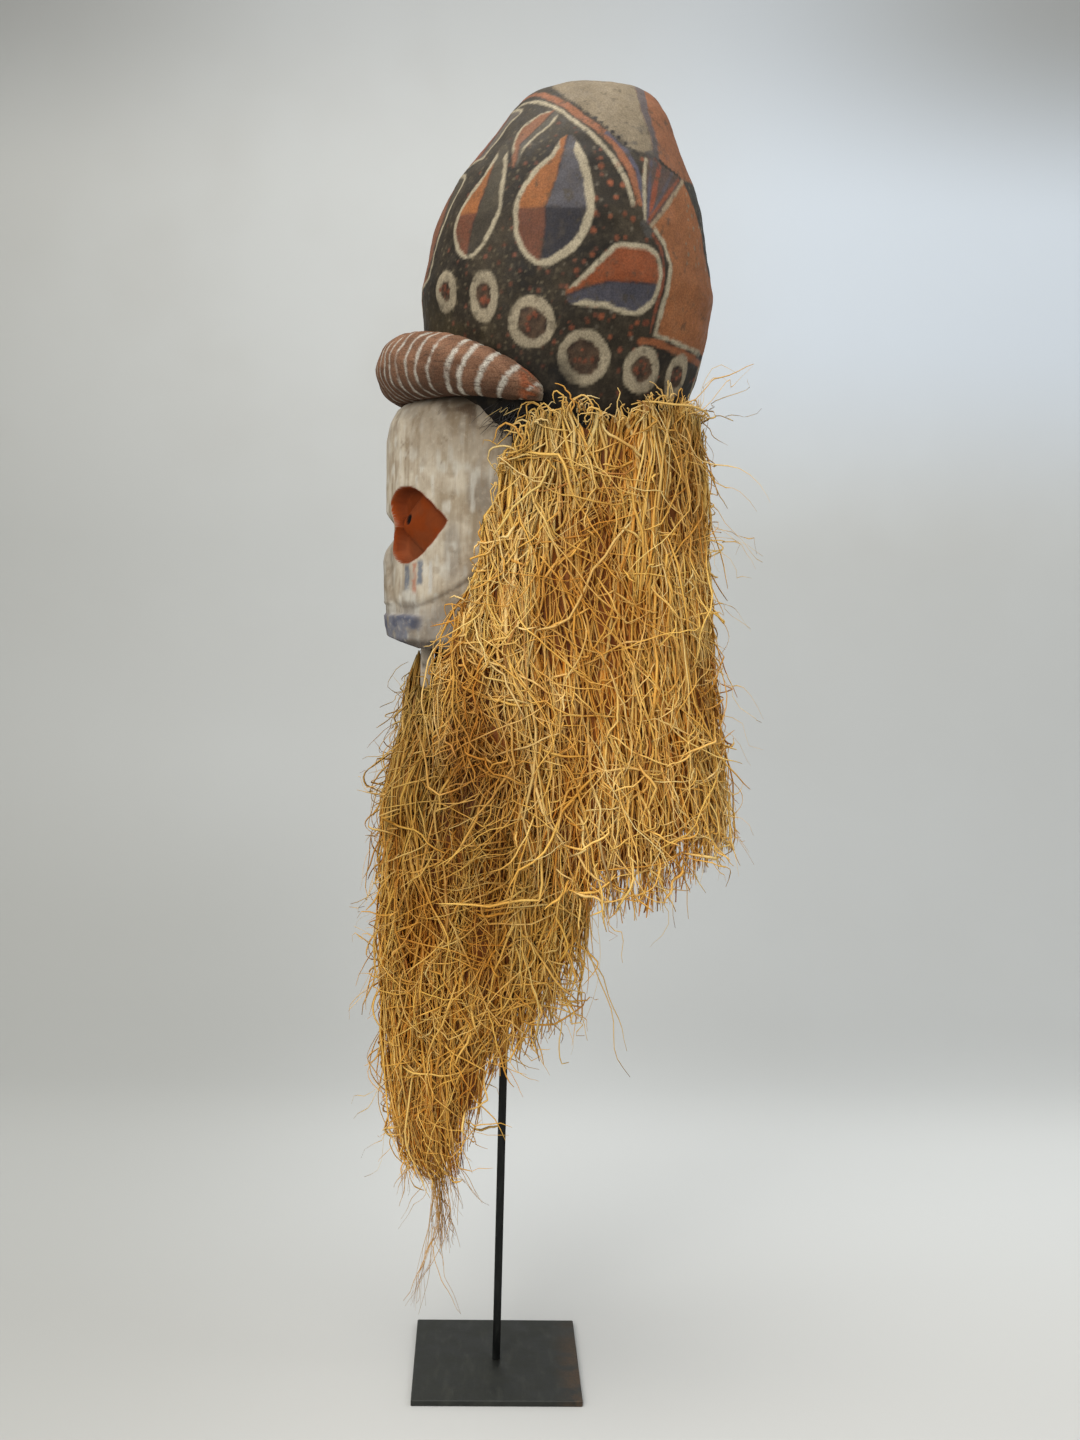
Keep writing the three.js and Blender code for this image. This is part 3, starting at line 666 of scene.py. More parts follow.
leaf([(31, 1216), (20, 1199), (4, 1182), (-10, 1159), (-13, 1139), (-9, 1116), (1, 1101),
      (15, 1094), (30, 1099), (48, 1114), (59, 1139), (59, 1166), (52, 1195), (41, 1216)], 5.2,
     [(36, 1220), (26, 1178), (16, 1148), (16, 1127), (12, 1095)],
     (ORANGE, BLUE_GREY, ORANGE_IN_SHADE, BLUE_GREY_IN_SHADE), crease=1148, open_at=[(36, 1221, 20)], bold=0.65)
leaf([(-24, 1214), (-39, 1187), (-60, 1156), (-67, 1133), (-63, 1113), (-52, 1105),
      (-38, 1115), (-26, 1140), (-20, 1181), (-19, 1208)], 4.6,
     [(-26, 1216), (-37, 1174), (-47, 1145), (-52, 1127), (-53, 1104)],
     (ORANGE, GREY_BROWN, ORANGE_IN_SHADE, srgb(74, 66, 54)), crease=1148, open_at=[(-21, 1216, 18)])
leaf([(-14, 1213), (-8, 1229), (6, 1240), (20, 1246), (27, 1243), (22, 1232), (8, 1219), (-4, 1203),
      (-12, 1188)], 3.6, [(26, 1248), (18, 1239), (4, 1224), (-7, 1211), (-12, 1186)],
     (srgb(156, 104, 74), srgb(100, 94, 82)), open_at=[(-12, 1190, 16), (26, 1246, 8)])
leaf([(-60, 1198), (-73, 1156), (-82, 1130), (-87, 1106), (-95, 1091), (-130, 1086),
      (-130, 1198)], 3.8, [(-64, 1200), (-77, 1156), (-85, 1128), (-91, 1100), (-94, 1080)],
     (srgb(152, 98, 70), GREY_BROWN))
leaf([(-8, 1257), (-20, 1235), (-37, 1212), (-46, 1204), (-90, 1204), (-90, 1257)], 3.0,
     [(-12, 1262), (-27, 1236), (-42, 1212), (-50, 1200)], (srgb(150, 92, 70), srgb(118, 108, 98)))
leaf([(38, 1072), (46, 1083), (62, 1099), (79, 1116), (94, 1119), (112, 1118), (122, 1110),
      (125, 1091), (119, 1069), (106, 1057), (91, 1055), (72, 1060), (44, 1061)], 5.2,
     [(30, 1067), (40, 1070), (53, 1076), (76, 1083), (130, 1085)],
     (srgb(158, 86, 50), srgb(88, 85, 92)), by_height=True, open_at=[(37, 1067, 14)])
print(f"thick lines stand on {np.mean(thick > 0.3):.0%} of the points")

# %% [markdown]
# Last, a row of ovals runs along the rim. Each is a cream band round a dark middle with a few
# orange dabs in it.

# %% Headdress: ovals along the rim
RINGS = [  # y, z, half width on the cloth, half height
    (-99, 1084, 15, 19), (-73, 1078, 16, 19), (-38, 1070, 15.5, 23), (6, 1045, 22, 24),
    (55, 1016, 24, 25), (110, 1009, 20, 22), (146, 1008, 17, 22), (171, 1012, 18, 22),
]
RING_BAND = 9.0
for y, z, wide, high in RINGS:
    place = on_flank([(y, z)])[0]
    beside = np.linalg.norm((flank - place)[:, :2], axis=1)
    share = np.hypot(beside / wide, (side_z - z) / high)
    gap = (share - 1) * (wide + high) / 2 + 1.1 * wobble + 0.8 * noise(flank, 15, int(y) + 200)
    fresh = np.clip(1.1 - 0.5 * smooth(0.1, 0.8, noise(flank, 5, 24)), 0, 1)
    lay(srgb(190, 174, 144), edge(gap) * fresh, 0.55)
    inner = gap + RING_BAND + 0.9 * wobble + 1.2 * noise(flank, 11, int(y) + 300)
    middle = cover(srgb(60, 46, 36), srgb(108, 84, 64), 0.5 + 0.7 * noise(flank, 4, 25))
    lay(middle, edge(inner))
    around, out = rng.uniform(0, 2 * np.pi, 8), np.sqrt(rng.uniform(0.02, 1, 8)) * 0.36
    dabs = np.column_stack([y + wide * out * np.cos(around), z + high * out * np.sin(around)])
    spots(dabs, 3.0, srgb(152, 86, 60))
print("ovals along the rim:", len(RINGS))

# %% [markdown]
# Handling and smoke have dulled the paint: the ground shows through worn lines, soot lies along the
# rim beside the roll, and where the cloth faces up it is paler, from settled dust and from painted
# sheen of the light above.

# %% Headdress: wear and finish
worn = smooth(0.3, 0.7, noise(flank, 6.5, 51) * 0.6 + noise(flank, 2.6, 52) * 0.5)
lay(srgb(84, 74, 58), 0.6 * worn)
soot = smooth(1032, 990, side_z) * smooth(-70, -30, side_y) * smooth(64, 30, side_y)
soot = np.maximum(soot, smooth(985, 962, side_z))
lay(srgb(20, 17, 15), soot * np.clip(0.75 + 0.5 * noise(flank, 14, 53), 0, 1))
paint *= OLD_PAINT * (1 + 0.13 * fractal(flank, 24, 54) + 0.10 * noise(flank, 3.4, 55))[:, None]
# Paler where the cloth faces up: dust, and painted sheen from the light above.
dust_and_sheen = np.clip(normal.reshape(-1, 3)[:, 2], 0, 1)
lay(srgb(118, 110, 98), 0.12 * dust_and_sheen)
hidden = np.repeat(np.arange(len(dome)) < first_outside - 1, len(dome_angles))
lining = srgb(92, 76, 54) * (1 + 0.3 * fractal(flank, 12, 56))[:, None]
paint[hidden] = lining[hidden]
thick[hidden] = 0

dome = dome + normal * (dome_relief + thick.reshape(dome_relief.shape) * 0.5)[..., None]
points, faces = capped(dome, dome[0].mean(0), dome[-1].mean(0) + [0, 0, 0.3])
colour = np.concatenate([paint, lining[:1], paint[-1:]])

t = Nodes("painted_cloth")
fine, weave, blotch = t.noise(1.6, 3), t.noise(0.7, 2), t.noise(9, 4)
base = t.painted().outputs["Color"]
base = t.mix(t.ramp(fine, 0.3, 0.7, 0, 0.35), base, swatch(64, 57, 48), "MULTIPLY")
base = t.mix(t.ramp(blotch, 0.45, 0.75, 0, 0.13), base, swatch(112, 100, 82))
t.bump(t.math("ADD", t.math("MULTIPLY", fine, 0.8), t.math("MULTIPLY", weave, 0.35)), 0.5, 0.55)
painted_cloth = t.finish(base, t.ramp(blotch, 0.3, 0.7, 0.52, 0.74), gloss=0.14)
piece("painted_headdress", points, faces, painted_cloth, {"paint": colour},
      stands_for=["headdress"])

# %% [markdown]
# ## Brow roll
#
# The roll is old cloth wrapped round a core of fibre and bound tight, thick over the nose and
# drawn out to a twisted tip at each temple. Cream rings were painted round it, close together in
# front and wider towards the tips. The binding nips it in a little between the rings.

# %% Brow roll
ROLL_NEAR_STEPS, ROLL_FAR_STEPS, ROLL_ROUND_STEPS = 250, 84, 72
ROLL_TIP, ROLL_END = 98.0, 0.985  # degrees from nose to tip, and the share of them that is closed
ROLL_WIDE, ROLL_DEEP, ROLL_MIDDLE_Y = 120.0, 112.5, 5.0
ROLL_FRONT_Z, ROLL_TIP_Z, ROLL_THICK = 1013.5, 981.0, 34.0
STRIPES = np.array([  # degrees from the nose, and the width of the stripe in mm
    [3, 2.4], [9, 2.4], [14.5, 2.4], [20, 2.5], [25, 2.6], [30.5, 2.7], [37, 2.8], [43, 2.9],
    [49.5, 2.2], [58, 4.4], [63.5, 4.0], [71.5, 4.6], [81, 4.4], [91.5, 3.4],
])
MM_PER_DEGREE = 2.2

share = np.concatenate([
    np.linspace(-1, 0, ROLL_FAR_STEPS, endpoint=False), np.linspace(0, 1, ROLL_NEAR_STEPS)])
station = share * ROLL_END * ROLL_TIP
angle = np.radians(station)[:, None]
around = np.linspace(0, 2 * np.pi, ROLL_ROUND_STEPS, endpoint=False)[None, :]
taper = np.abs(station / ROLL_TIP)[:, None]
middle_x, middle_y = ROLL_WIDE * np.sin(angle), ROLL_MIDDLE_Y - ROLL_DEEP * np.cos(angle)
middle_z = ROLL_FRONT_Z + (ROLL_TIP_Z - ROLL_FRONT_Z) * taper**3
radius = ROLL_THICK * np.sqrt(1 - taper**1.8)
unrolled = np.stack(np.broadcast_arrays(angle * ROLL_WIDE, around * 30, 0.0), -1)
lean = np.abs(station)[:, None] - 5.5 * taper * np.sin(around) \
    + 0.5 * noise(unrolled, 34, 61) + 0.25 * noise(unrolled, 9, 68)
stripe_gap = np.full(lean.shape, 9.0)
for place, width in STRIPES:
    stripe_gap = np.minimum(stripe_gap, np.abs(lean - place) * MM_PER_DEGREE - width / 2)
twist = smooth(0.72, 1.0, taper)
folds = 0.6 * np.cos(around * 7 + station[:, None] * 0.16) * (0.35 + 1.2 * twist)
nips = 0.9 * np.exp(-(stripe_gap / 2.6) ** 2) * (1 - 0.5 * twist)
radius = radius - nips + folds * np.minimum(1, radius / 14) + 0.9 * fractal(unrolled, 17, 62)
roll = np.stack([
    middle_x + radius * np.cos(around) * np.sin(angle),
    middle_y - radius * np.cos(around) * np.cos(angle),
    middle_z + radius * np.sin(around),
], -1)
print("roll grid", roll.shape[:2], "stripes", len(STRIPES))

# %% [markdown]
# The cloth is red-brown and paler where it has rubbed, and it is painted darker underneath as
# painted shade. The cream rings are worn through in places, and each tip is tied off with a paler
# twist.

# %% Brow roll: colours
rubbed = 0.5 + 0.55 * fractal(unrolled, 20, 63)
colour = cover(srgb(136, 98, 74), srgb(176, 130, 100), rubbed)
# Painted shade: the underside of the roll is darker.
underside_shade = np.clip(-np.sin(around) * 0.75 + 0.2 * noise(unrolled, 15, 64), 0, 0.75)
colour = cover(colour, srgb(92, 68, 54), underside_shade)
ring = edge(stripe_gap + 0.9 * noise(unrolled, 3.2, 65), 1.1) \
    * np.clip(1.05 - 0.7 * smooth(0, 0.8, noise(unrolled, 7, 66)), 0, 1)
colour = cover(colour, srgb(232, 223, 205), ring)
tip = smooth(0.86, 0.90, taper) * smooth(0.965, 0.93, taper) \
    * smooth(-0.3, 0.3, noise(unrolled, 8, 67))
colour = cover(colour, srgb(178, 104, 68), tip)
pale = smooth(0.95, 0.985, taper) * 0.8 + 0 * around
colour = OLD_PAINT * cover(colour, srgb(164, 152, 132), pale)

points, faces = capped(roll, roll[0].mean(0), roll[-1].mean(0), outward=False)
colour = np.concatenate([colour.reshape(-1, 3), colour[0, :1], colour[-1, :1]])

t = Nodes("striped_cloth")
fine, dirt, thread = t.noise(1.3, 3), t.noise(7, 3), t.noise(1.7, 2, stretch=(0.4, 0.14, 1))
base = t.painted().outputs["Color"]
base = t.mix(t.ramp(fine, 0.3, 0.7, 0, 0.5), base, swatch(96, 76, 64), "MULTIPLY")
base = t.mix(t.ramp(dirt, 0.5, 0.75, 0, 0.3), base, swatch(100, 84, 68))
base = t.mix(t.ramp(thread, 0.52, 0.72, 0, 0.55), base, swatch(66, 50, 40))
t.bump(t.math("ADD", t.math("SUBTRACT", fine, thread), t.math("MULTIPLY", dirt, 0.8)), 1.3, 0.8)
striped_cloth = t.finish(base, 0.9, gloss=0.12)
piece("striped_roll", points, faces, striped_cloth, {"paint": colour},
      stands_for=["brow_roll"])

# %% [markdown]
# ## Face
#
# The carver kept the round of the log. The sockets are heart-shaped hollows, each with a
# wedge-shaped eye left standing in it, and their clefts meet the notch of the bridge. Nose, cheeks
# and lips are low forms. These are the sizes, in millimetres and in degrees round the log.

# %% Face: sizes
WOOD_WALL, FACE_POWER, FACE_TOP, FACE_BOTTOM = 20.0, 2.15, 985.0, 745.0
LOG = np.array([  # height, front, half width, back
    [735, -121, 70, -65], [745, -122, 72, -60], [757, -124, 75, -55], [775, -125, 81, -45],
    [800, -126, 86, -30], [850, -128, 90, -12], [900, -130, 91, -8], [945, -130, 90, -8],
    [962, -127, 88, -8], [975, -120, 83, -8], [985, -108, 74, -8],
], float)
SOCKET_ANGLE, SOCKET_Z, SOCKET_DEPTH, SOCKET_TILT, SOCKET_SCALE = 40.0, 863.0, 15.0, 5.0, 1.75
SOCKET_OUTLINE = np.array([  # direction in degrees, reach in mm
    [0, 40], [22, 32.5], [50, 30.5], [85, 34.5], [115, 38.5], [145, 42], [165, 33], [180, 26]])
EYE_RISE, EYE_TIP, EYE_NOSE, EYE_HALF, EYE_SPREAD = 11.5, -24.0, 10.0, 5.0, 0.8
PUPIL_Y, PUPIL_Z, PUPIL_WIDE, PUPIL_HIGH, PUPIL_SLANT, PUPIL_PIT = -105.0, 868.0, 2.4, 4.6, 0.8, 2.4
NOTCH_Z, NOTCH_DEPTH, NOSE_Z, NOSE_HIGH, NOSE_RISE = 860.0, 9.0, 848.0, 61.0, 4.0
LIPS_RISE, LIPS_HALF_ANGLE, CHEEK_RISE = 5.0, 58.0, 2.2
LIPS_SLOPE_Y, LIPS_SLOPE_LONG, LIPS_SLOPE_RISE = -93.0, 35.0, 11.0
FACE_NEAR, FACE_FAR = 140, 56
print("face", FACE_TOP - FACE_BOTTOM, "mm high")

# %% [markdown]
# The log is half of an oval at each height. What is cut into it or left standing on it is worked
# out as a depth at an angle and a height, so the forms follow the round of the wood.

# %% Face: log, sockets and low forms
def log_section(degrees, z, grow=0.0, inset=0.0, front=None):
    """Point of the log's half oval at an angle and a height."""
    front_y, half, back = (np.interp(z, LOG[:, 0], LOG[:, k]) for k in (1, 2, 3))
    nose = front_y + inset if front is None else front
    return oval(np.radians(degrees), nose, 2 * back - nose, half - inset, FACE_POWER, grow)


def socket(degrees, z):
    """Depth of the socket and how far inside its outline a point is, in mm (negative outside)."""
    along, rise = (np.abs(degrees) - SOCKET_ANGLE) * SOCKET_SCALE, z - SOCKET_Z
    tilt = np.radians(SOCKET_TILT)
    u = along * np.cos(tilt) + rise * np.sin(tilt)
    v = rise * np.cos(tilt) - along * np.sin(tilt)
    direction = np.abs(np.degrees(np.arctan2(v, u)))
    reach = np.interp(direction, SOCKET_OUTLINE[:, 0], SOCKET_OUTLINE[:, 1])
    inside_by = reach - np.hypot(u, v)
    past = u - EYE_TIP
    half = EYE_HALF + EYE_SPREAD * np.maximum(past, 0)
    across = np.sqrt(np.clip(1 - (v / half) ** 2, 0, 1))
    blunt = np.sqrt(np.clip(1 - (1 - np.clip(past / EYE_NOSE, 0, 1)) ** 2, 0, 1))
    eye = EYE_RISE * across * blunt
    return (SOCKET_DEPTH - eye) * smooth(-0.4, 3.4, inside_by), inside_by, eye


def above_fold(side, z):
    """Height above the fold of the cheek, a shallow curve: z - 784 - 8 ((side - 43) / 20)^2."""
    return z - 784 - 8 * ((side - 43) / 20) ** 2


def carving(degrees, z):
    """Low forms on the log: nose, lips, cheeks and the notch of the bridge."""
    side = np.abs(degrees)
    notch = np.minimum(smooth(0, 1, 1 - (z - NOTCH_Z) / 17), smooth(0, 1, 1 - (NOTCH_Z - z) / 27)) \
        * smooth(24, 12, side)
    down = np.clip((NOSE_Z - z) / NOSE_HIGH, 0, 1)
    nose_edge = 11 + 11.5 * down
    nose = smooth(-2.5, 3, nose_edge - side) * NOSE_RISE * np.clip(down * 3, 0, 1) \
        * smooth(785.5, 788, z)
    lips = LIPS_RISE * smooth(0, 8, LIPS_HALF_ANGLE - side) * smooth(777.5, 775, z)
    groove_floor = 2.8 * smooth(0, 8, 26 - side) * smooth(775, 777.5, z) * smooth(788.5, 786, z)
    above = above_fold(side, z)
    cheek = CHEEK_RISE * smooth(-3, 7, above) * np.clip(1 - above / 36, 0, 1) * smooth(24, 33, side)
    return nose + lips + groove_floor + cheek - NOTCH_DEPTH * notch


print("socket is", socket(SOCKET_ANGLE + 10, SOCKET_Z - 20)[0].round(1), "mm deep beside the eye")

# %% [markdown]
# The front is one grid, finer on the side that the photograph shows. Long thin lines of grain, the
# flats left by the knife and the pit of the pupil are pushed in along its normals.

# %% Face: carved front
side_share = np.linspace(0, 1, FACE_NEAR)
columns_near = 90 * (0.75 * side_share + 0.25 * side_share**2)
columns_far = -90 * np.linspace(0, 1, FACE_FAR + 1)[:0:-1]
face_angles = np.concatenate([columns_far, columns_near])
face_heights = np.concatenate([np.linspace(FACE_BOTTOM, 898, 108), np.linspace(900, FACE_TOP, 34)])
degrees, height = np.meshgrid(face_angles, face_heights)
depth, inside_by, eye = socket(degrees, height)
relief = carving(degrees, height) - depth
x, y = log_section(degrees, height, relief)
slope = LIPS_SLOPE_RISE * np.clip((LIPS_SLOPE_Y - y) / LIPS_SLOPE_LONG, 0, 1)
lifted = height + slope * smooth(776, FACE_BOTTOM, height)
front_face = np.stack([x, y, lifted], -1)
pupil_y, pupil_z = front_face[..., 1] - PUPIL_Y, front_face[..., 2] - PUPIL_Z
pupil = np.hypot(pupil_y / PUPIL_WIDE, (pupil_z - pupil_y * PUPIL_SLANT) / PUPIL_HIGH)
pit = PUPIL_PIT * smooth(1.15, 0.6, pupil) * (np.abs(degrees) > 15) * (np.abs(degrees) < 60)
grain_lines = 0.25 * noise(front_face * [1, 1, 0.06], 2.4, 71) \
    + 0.5 * fractal(front_face * [1, 1, 0.3], 17, 72)
tools = 0.35 * noise(front_face * [1, 1, 0.6], 7, 73)
calm = smooth(-1, 3, -inside_by)
front_normal = np.cross(np.gradient(front_face, axis=1), np.gradient(front_face, axis=0))
front_normal /= np.linalg.norm(front_normal, axis=-1, keepdims=True)
rough = (grain_lines + tools) * (0.35 + 0.65 * calm) - pit
front_face = front_face + front_normal * rough[..., None]
print("face grid", degrees.shape)

# %% [markdown]
# Behind, the log is hollowed to leave a wall of even thickness, with the short marks of an adze.
# Below the hollow the wood stays thick, where the jaw has to carry the tied beard.

# %% Face: hollow back
chin = smooth(782, 778, height)  # below the hollow the wood is left thick, as a block
below_top = np.minimum(height, 945)
inner_x, inner_y = log_section(degrees, below_top, inset=WOOD_WALL)
chin_x, chin_y = log_section(degrees, below_top, inset=WOOD_WALL, front=-80.0 + 0 * height)
back_face = np.stack([
    inner_x * (1 - chin) + chin_x * chin, inner_y * (1 - chin) + chin_y * chin, lifted], -1)
back_face[..., 1] = np.minimum(back_face[..., 1], front_face[..., 1].max())
back_face[..., 1] += 0.9 * noise(back_face * [1, 1, 0.5], 13, 74)  # marks of the adze
print("hollow wall", WOOD_WALL, "mm")

# %% [markdown]
# Below the mouth a flat tongue of wood is left standing, by which the dancer's costume is tied on.
# It is a small rounded block, made from six grids that are welded along their edges.

# %% Face: tongue of wood
TONGUE_LOW, TONGUE_HIGH = (-26, -92, 704), (26, -80.5, 770)
TONGUE_HOLES = np.array([
    (26, -88.5, 729), (26, -80, 729), (26, -83, 721), (19, -92, 718), (-21, -92, 727)])


def block_points(low, high, steps=(10, 5, 14), rounding=2.5):
    """Closed box with rounded edges: a cube grid whose points are pulled onto a rounded block."""
    low, high = np.array(low, float), np.array(high, float)
    sheets, faces, start = [], [], 0
    for axis in range(3):
        u, v = (axis + 1) % 3, (axis + 2) % 3
        for end in (0, 1):
            a, b = np.meshgrid(*(np.linspace(0, 1, steps[k] + 1) for k in (u, v)), indexing="ij")
            sheet = np.empty((*a.shape, 3))
            sheet[..., axis], sheet[..., u], sheet[..., v] = end, a, b
            quads = grid_faces(steps[u] + 1, steps[v] + 1, closed=False, start=start)
            faces.append(quads[:, ::-1] if end else quads)
            sheets.append(sheet.reshape(-1, 3))
            start += a.size
    points = low + np.concatenate(sheets) * (high - low)
    core = np.clip(points, low + rounding, high - rounding)
    away = points - core
    reach = np.linalg.norm(away, axis=1, keepdims=True)
    points = core + away / np.maximum(reach, 1e-9) * np.minimum(reach, rounding)
    unique, number = np.unique(np.round(points, 4), axis=0, return_inverse=True)
    quads = number.reshape(-1)[np.concatenate(faces)]
    return unique, quads


tongue_points, tongue_quads = block_points(TONGUE_LOW, TONGUE_HIGH)
tongue_points[:, 1] += 0.5 * noise(tongue_points, 8, 75)
print("tongue", len(tongue_points), "points")

# %% [markdown]
# The clay is laid on thin and has been rubbed down, so brown wood shows along the grain and at
# the edges, and it has worn to grey. Soot from the headdress has run down over the brow.

# %% Face: white clay
spot = front_face.copy()
spot[..., 0] = np.abs(spot[..., 0])
y, z = spot[..., 1], spot[..., 2]
streaks = noise(spot * [1, 1, 0.07], 3.2, 81) * 0.6 + noise(spot * [1, 1, 0.12], 8, 82) * 0.5
cloud = fractal(spot, 34, 83)
clay = srgb(222, 208, 184) + np.zeros_like(spot)


def rub(screen, amount):
    """Rubs a colour, given by its screen values, over the clay."""
    clay[:] = cover(clay, srgb(*screen), amount)


rub((160, 140, 112), 0.62 * smooth(-0.05, 0.6, streaks))
rub((172, 152, 122), 0.62 * smooth(-0.15, 0.5, cloud))
rub((152, 128, 98), 0.34 * smooth(0.1, 0.9, fractal(spot * [1, 1, 0.6], 12, 79)))
rub((144, 136, 126), 0.5 * smooth(0.1, 0.6, noise(spot * [1, 1, 0.4], 21, 84)))
rub((238, 232, 216), 0.55 * smooth(0.05, 0.6, noise(spot * [1, 1, 0.45], 5.5, 70)))
rub((150, 128, 100), 0.42 * smooth(0.2, 0.7, noise(spot * [1, 1, 0.7], 7, 69)))
scuff = noise(spot @ np.array([[1, 0, 0], [0, 0.5, 0.3], [0, 0.3, 0.9]]), 2.6, 78)
rub((120, 98, 74), 0.55 * smooth(0.55, 0.85, scuff) * smooth(-0.2, 0.4, noise(spot, 26, 77)))
rub((132, 116, 98), 0.6 * smooth(938, 972, z) * smooth(-0.5, 0.4, cloud + streaks * 0.4))
rub((150, 130, 104), 0.5 * smooth(905, 945, z) * smooth(-122, -96, y))
rub((136, 110, 76), 0.55 * smooth(-104, -74, y) * smooth(838, 800, z) * smooth(-0.6, 0.2, cloud))
sooty = smooth(0.2, 0.6, noise(spot, 9, 85)) * smooth(945, 966, z) * smooth(-90, -60, y)
rub((98, 76, 58), 0.75 * sooty)
rub((150, 148, 146), 0.4 * smooth(800, 770, z))
crack = smooth(0.80, 0.92, noise(spot * [1, 1, 0.05], 5.5, 86)) \
    * smooth(-0.2, 0.3, noise(spot, 30, 87))
rub((104, 92, 80), 0.7 * crack)
side = np.abs(degrees)
# Painted shade in the fold of the cheek: the clay is darker along it.
fold = np.exp(-(above_fold(side, z) / 2.2) ** 2) * smooth(24, 33, side)
rub((120, 106, 92), 0.45 * fold)
print("clay on", clay[..., 0].size, "points")

# %% [markdown]
# Two blue dashes, an orange one and a pale one run down the cheek below the socket, each one pull
# of a finger or a stick. The lips are smeared with blue, and where they meet the beard a painted
# shadow darkens them.

# %% Face: dashes and lips
def dash(y0, y1, z0, z1):
    """Cover of an upright dab with rough ends."""
    rough = 0.8 * noise(spot, 3.0, 88)
    return smooth(y0 - 1, y0 + 1, y + rough) * smooth(y1 + 1, y1 - 1, y + rough) \
        * smooth(z0 - 3, z0 + 3, z + 2 * rough) * smooth(z1 + 3, z1 - 3, z + 2 * rough)


chip = np.clip(0.85 - 0.6 * smooth(0, 0.7, noise(spot, 4, 89)), 0, 1)
rub((108, 116, 128), dash(-107.5, -103.0, 801, 825) * chip)
rub((196, 136, 108), dash(-99.8, -95.8, 798, 828) * chip)
rub((112, 122, 136), dash(-95.0, -90.0, 806, 829) * chip)
rub((218, 212, 200), dash(-84.0, -80.5, 798, 828) * chip)
lips = smooth(779, 774, z) * smooth(62, 52, np.abs(degrees))
smear = smooth(-0.25, 0.3, noise(spot * [1, 1, 0.8], 11, 90) + 0.4 * noise(spot, 4, 91))
rub((128, 130, 142), 0.85 * lips * smear)
rub((96, 100, 118), 0.8 * lips * smooth(0.1, 0.5, noise(spot, 8, 92)) * smooth(752, 758, z))
# Painted shadow under the lips, where they meet the beard.
rub((62, 56, 52), 0.8 * smooth(756, 750, z + 0.5 * noise(spot, 3, 93)) * smooth(-122, -112, y))
print("lips cover", int((lips > 0.5).sum()), "points")

# %% [markdown]
# The sockets were filled with red earth. Painted shade darkens it along the walls, where the socket
# lies deep and along the edge of the eye; painted light makes it paler and more orange below and
# brighter on the wall beside the nose. A pupil was drilled through, and here its hole is a shallow
# pit painted black as painted shade.

# %% Face: red sockets
in_socket = smooth(-1.5, -0.2, inside_by + 0.4 * noise(spot, 4, 94))
pigment = srgb(141, 60, 14) + np.zeros_like(spot)
pigment = cover(pigment, srgb(132, 66, 32), 0.6 * smooth(-0.3, 0.6, fractal(spot, 12, 95)))
# Painted shade along the socket's walls.
wall_shade = smooth(7, 1.5, inside_by) * smooth(1.0, 4.0, depth)
pigment = cover(pigment, srgb(124, 58, 34), 0.4 * wall_shade)
# Painted shade where the socket lies deep.
deep = smooth(6, 14, depth)
pigment = cover(pigment, srgb(124, 58, 26), 0.4 * deep)
# Painted light: the lower part of the socket, which faces up, is paler and more orange.
pigment = cover(pigment, srgb(176, 104, 66), 0.45 * smooth(862, 838, z) * smooth(4, 9, depth))
# Painted light: brighter on the wall beside the nose.
pigment *= 1 + 0.45 * smooth(32, 20, np.abs(degrees))[..., None]
# Painted shade along the crease where the eye meets the socket floor.
crease_shade = np.exp(-((eye - 2.2) / 1.6) ** 2) * deep
pigment = cover(pigment, srgb(80, 36, 20), 0.75 * crease_shade)
clay[:] = cover(clay, pigment, in_socket)
# The pupil's black is painted shade for the hole drilled through.
rub((14, 11, 10), smooth(1.2, 0.85, pupil) * (pit > 0))
clay *= OLD_PAINT * (1 + 0.07 * noise(spot, 2.6, 96) + 0.05 * noise(spot, 11, 97))[..., None]
print("sockets cover", int((in_socket > 0.5).sum()), "points")

# %% [markdown]
# The hollow back is bare brown wood. The tongue has thin clay and a few small holes, bored so that
# things can be tied to it; they are not cut into the block but painted as dark spots, painted shade
# for the holes. The shader adds open grain everywhere but in the painted sockets.

# %% Face: bare wood and finish
wood = srgb(112, 88, 62) * (1 + 0.25 * fractal(back_face * [1, 1, 0.2], 9, 98))[..., None]
along_grain = fractal(tongue_points * [1, 1, 0.3], 8, 99)
tongue_colour = srgb(176, 164, 146) * (1 + 0.18 * along_grain)[:, None]
hole = np.full(len(tongue_points), 9.0)
for centre in TONGUE_HOLES:
    hole = np.minimum(hole, np.linalg.norm(tongue_points - centre, axis=1))
# Painted shade: dark spots stand for the holes.
tongue_colour = cover(tongue_colour, srgb(40, 30, 26), smooth(2.8, 1.2, hole))

points = np.concatenate([front_face.reshape(-1, 3), back_face.reshape(-1, 3), tongue_points])
colour = np.concatenate([clay.reshape(-1, 3), wood.reshape(-1, 3), tongue_colour])
count = degrees.size
faces = [*shell_faces(*degrees.shape), tongue_quads + 2 * count]

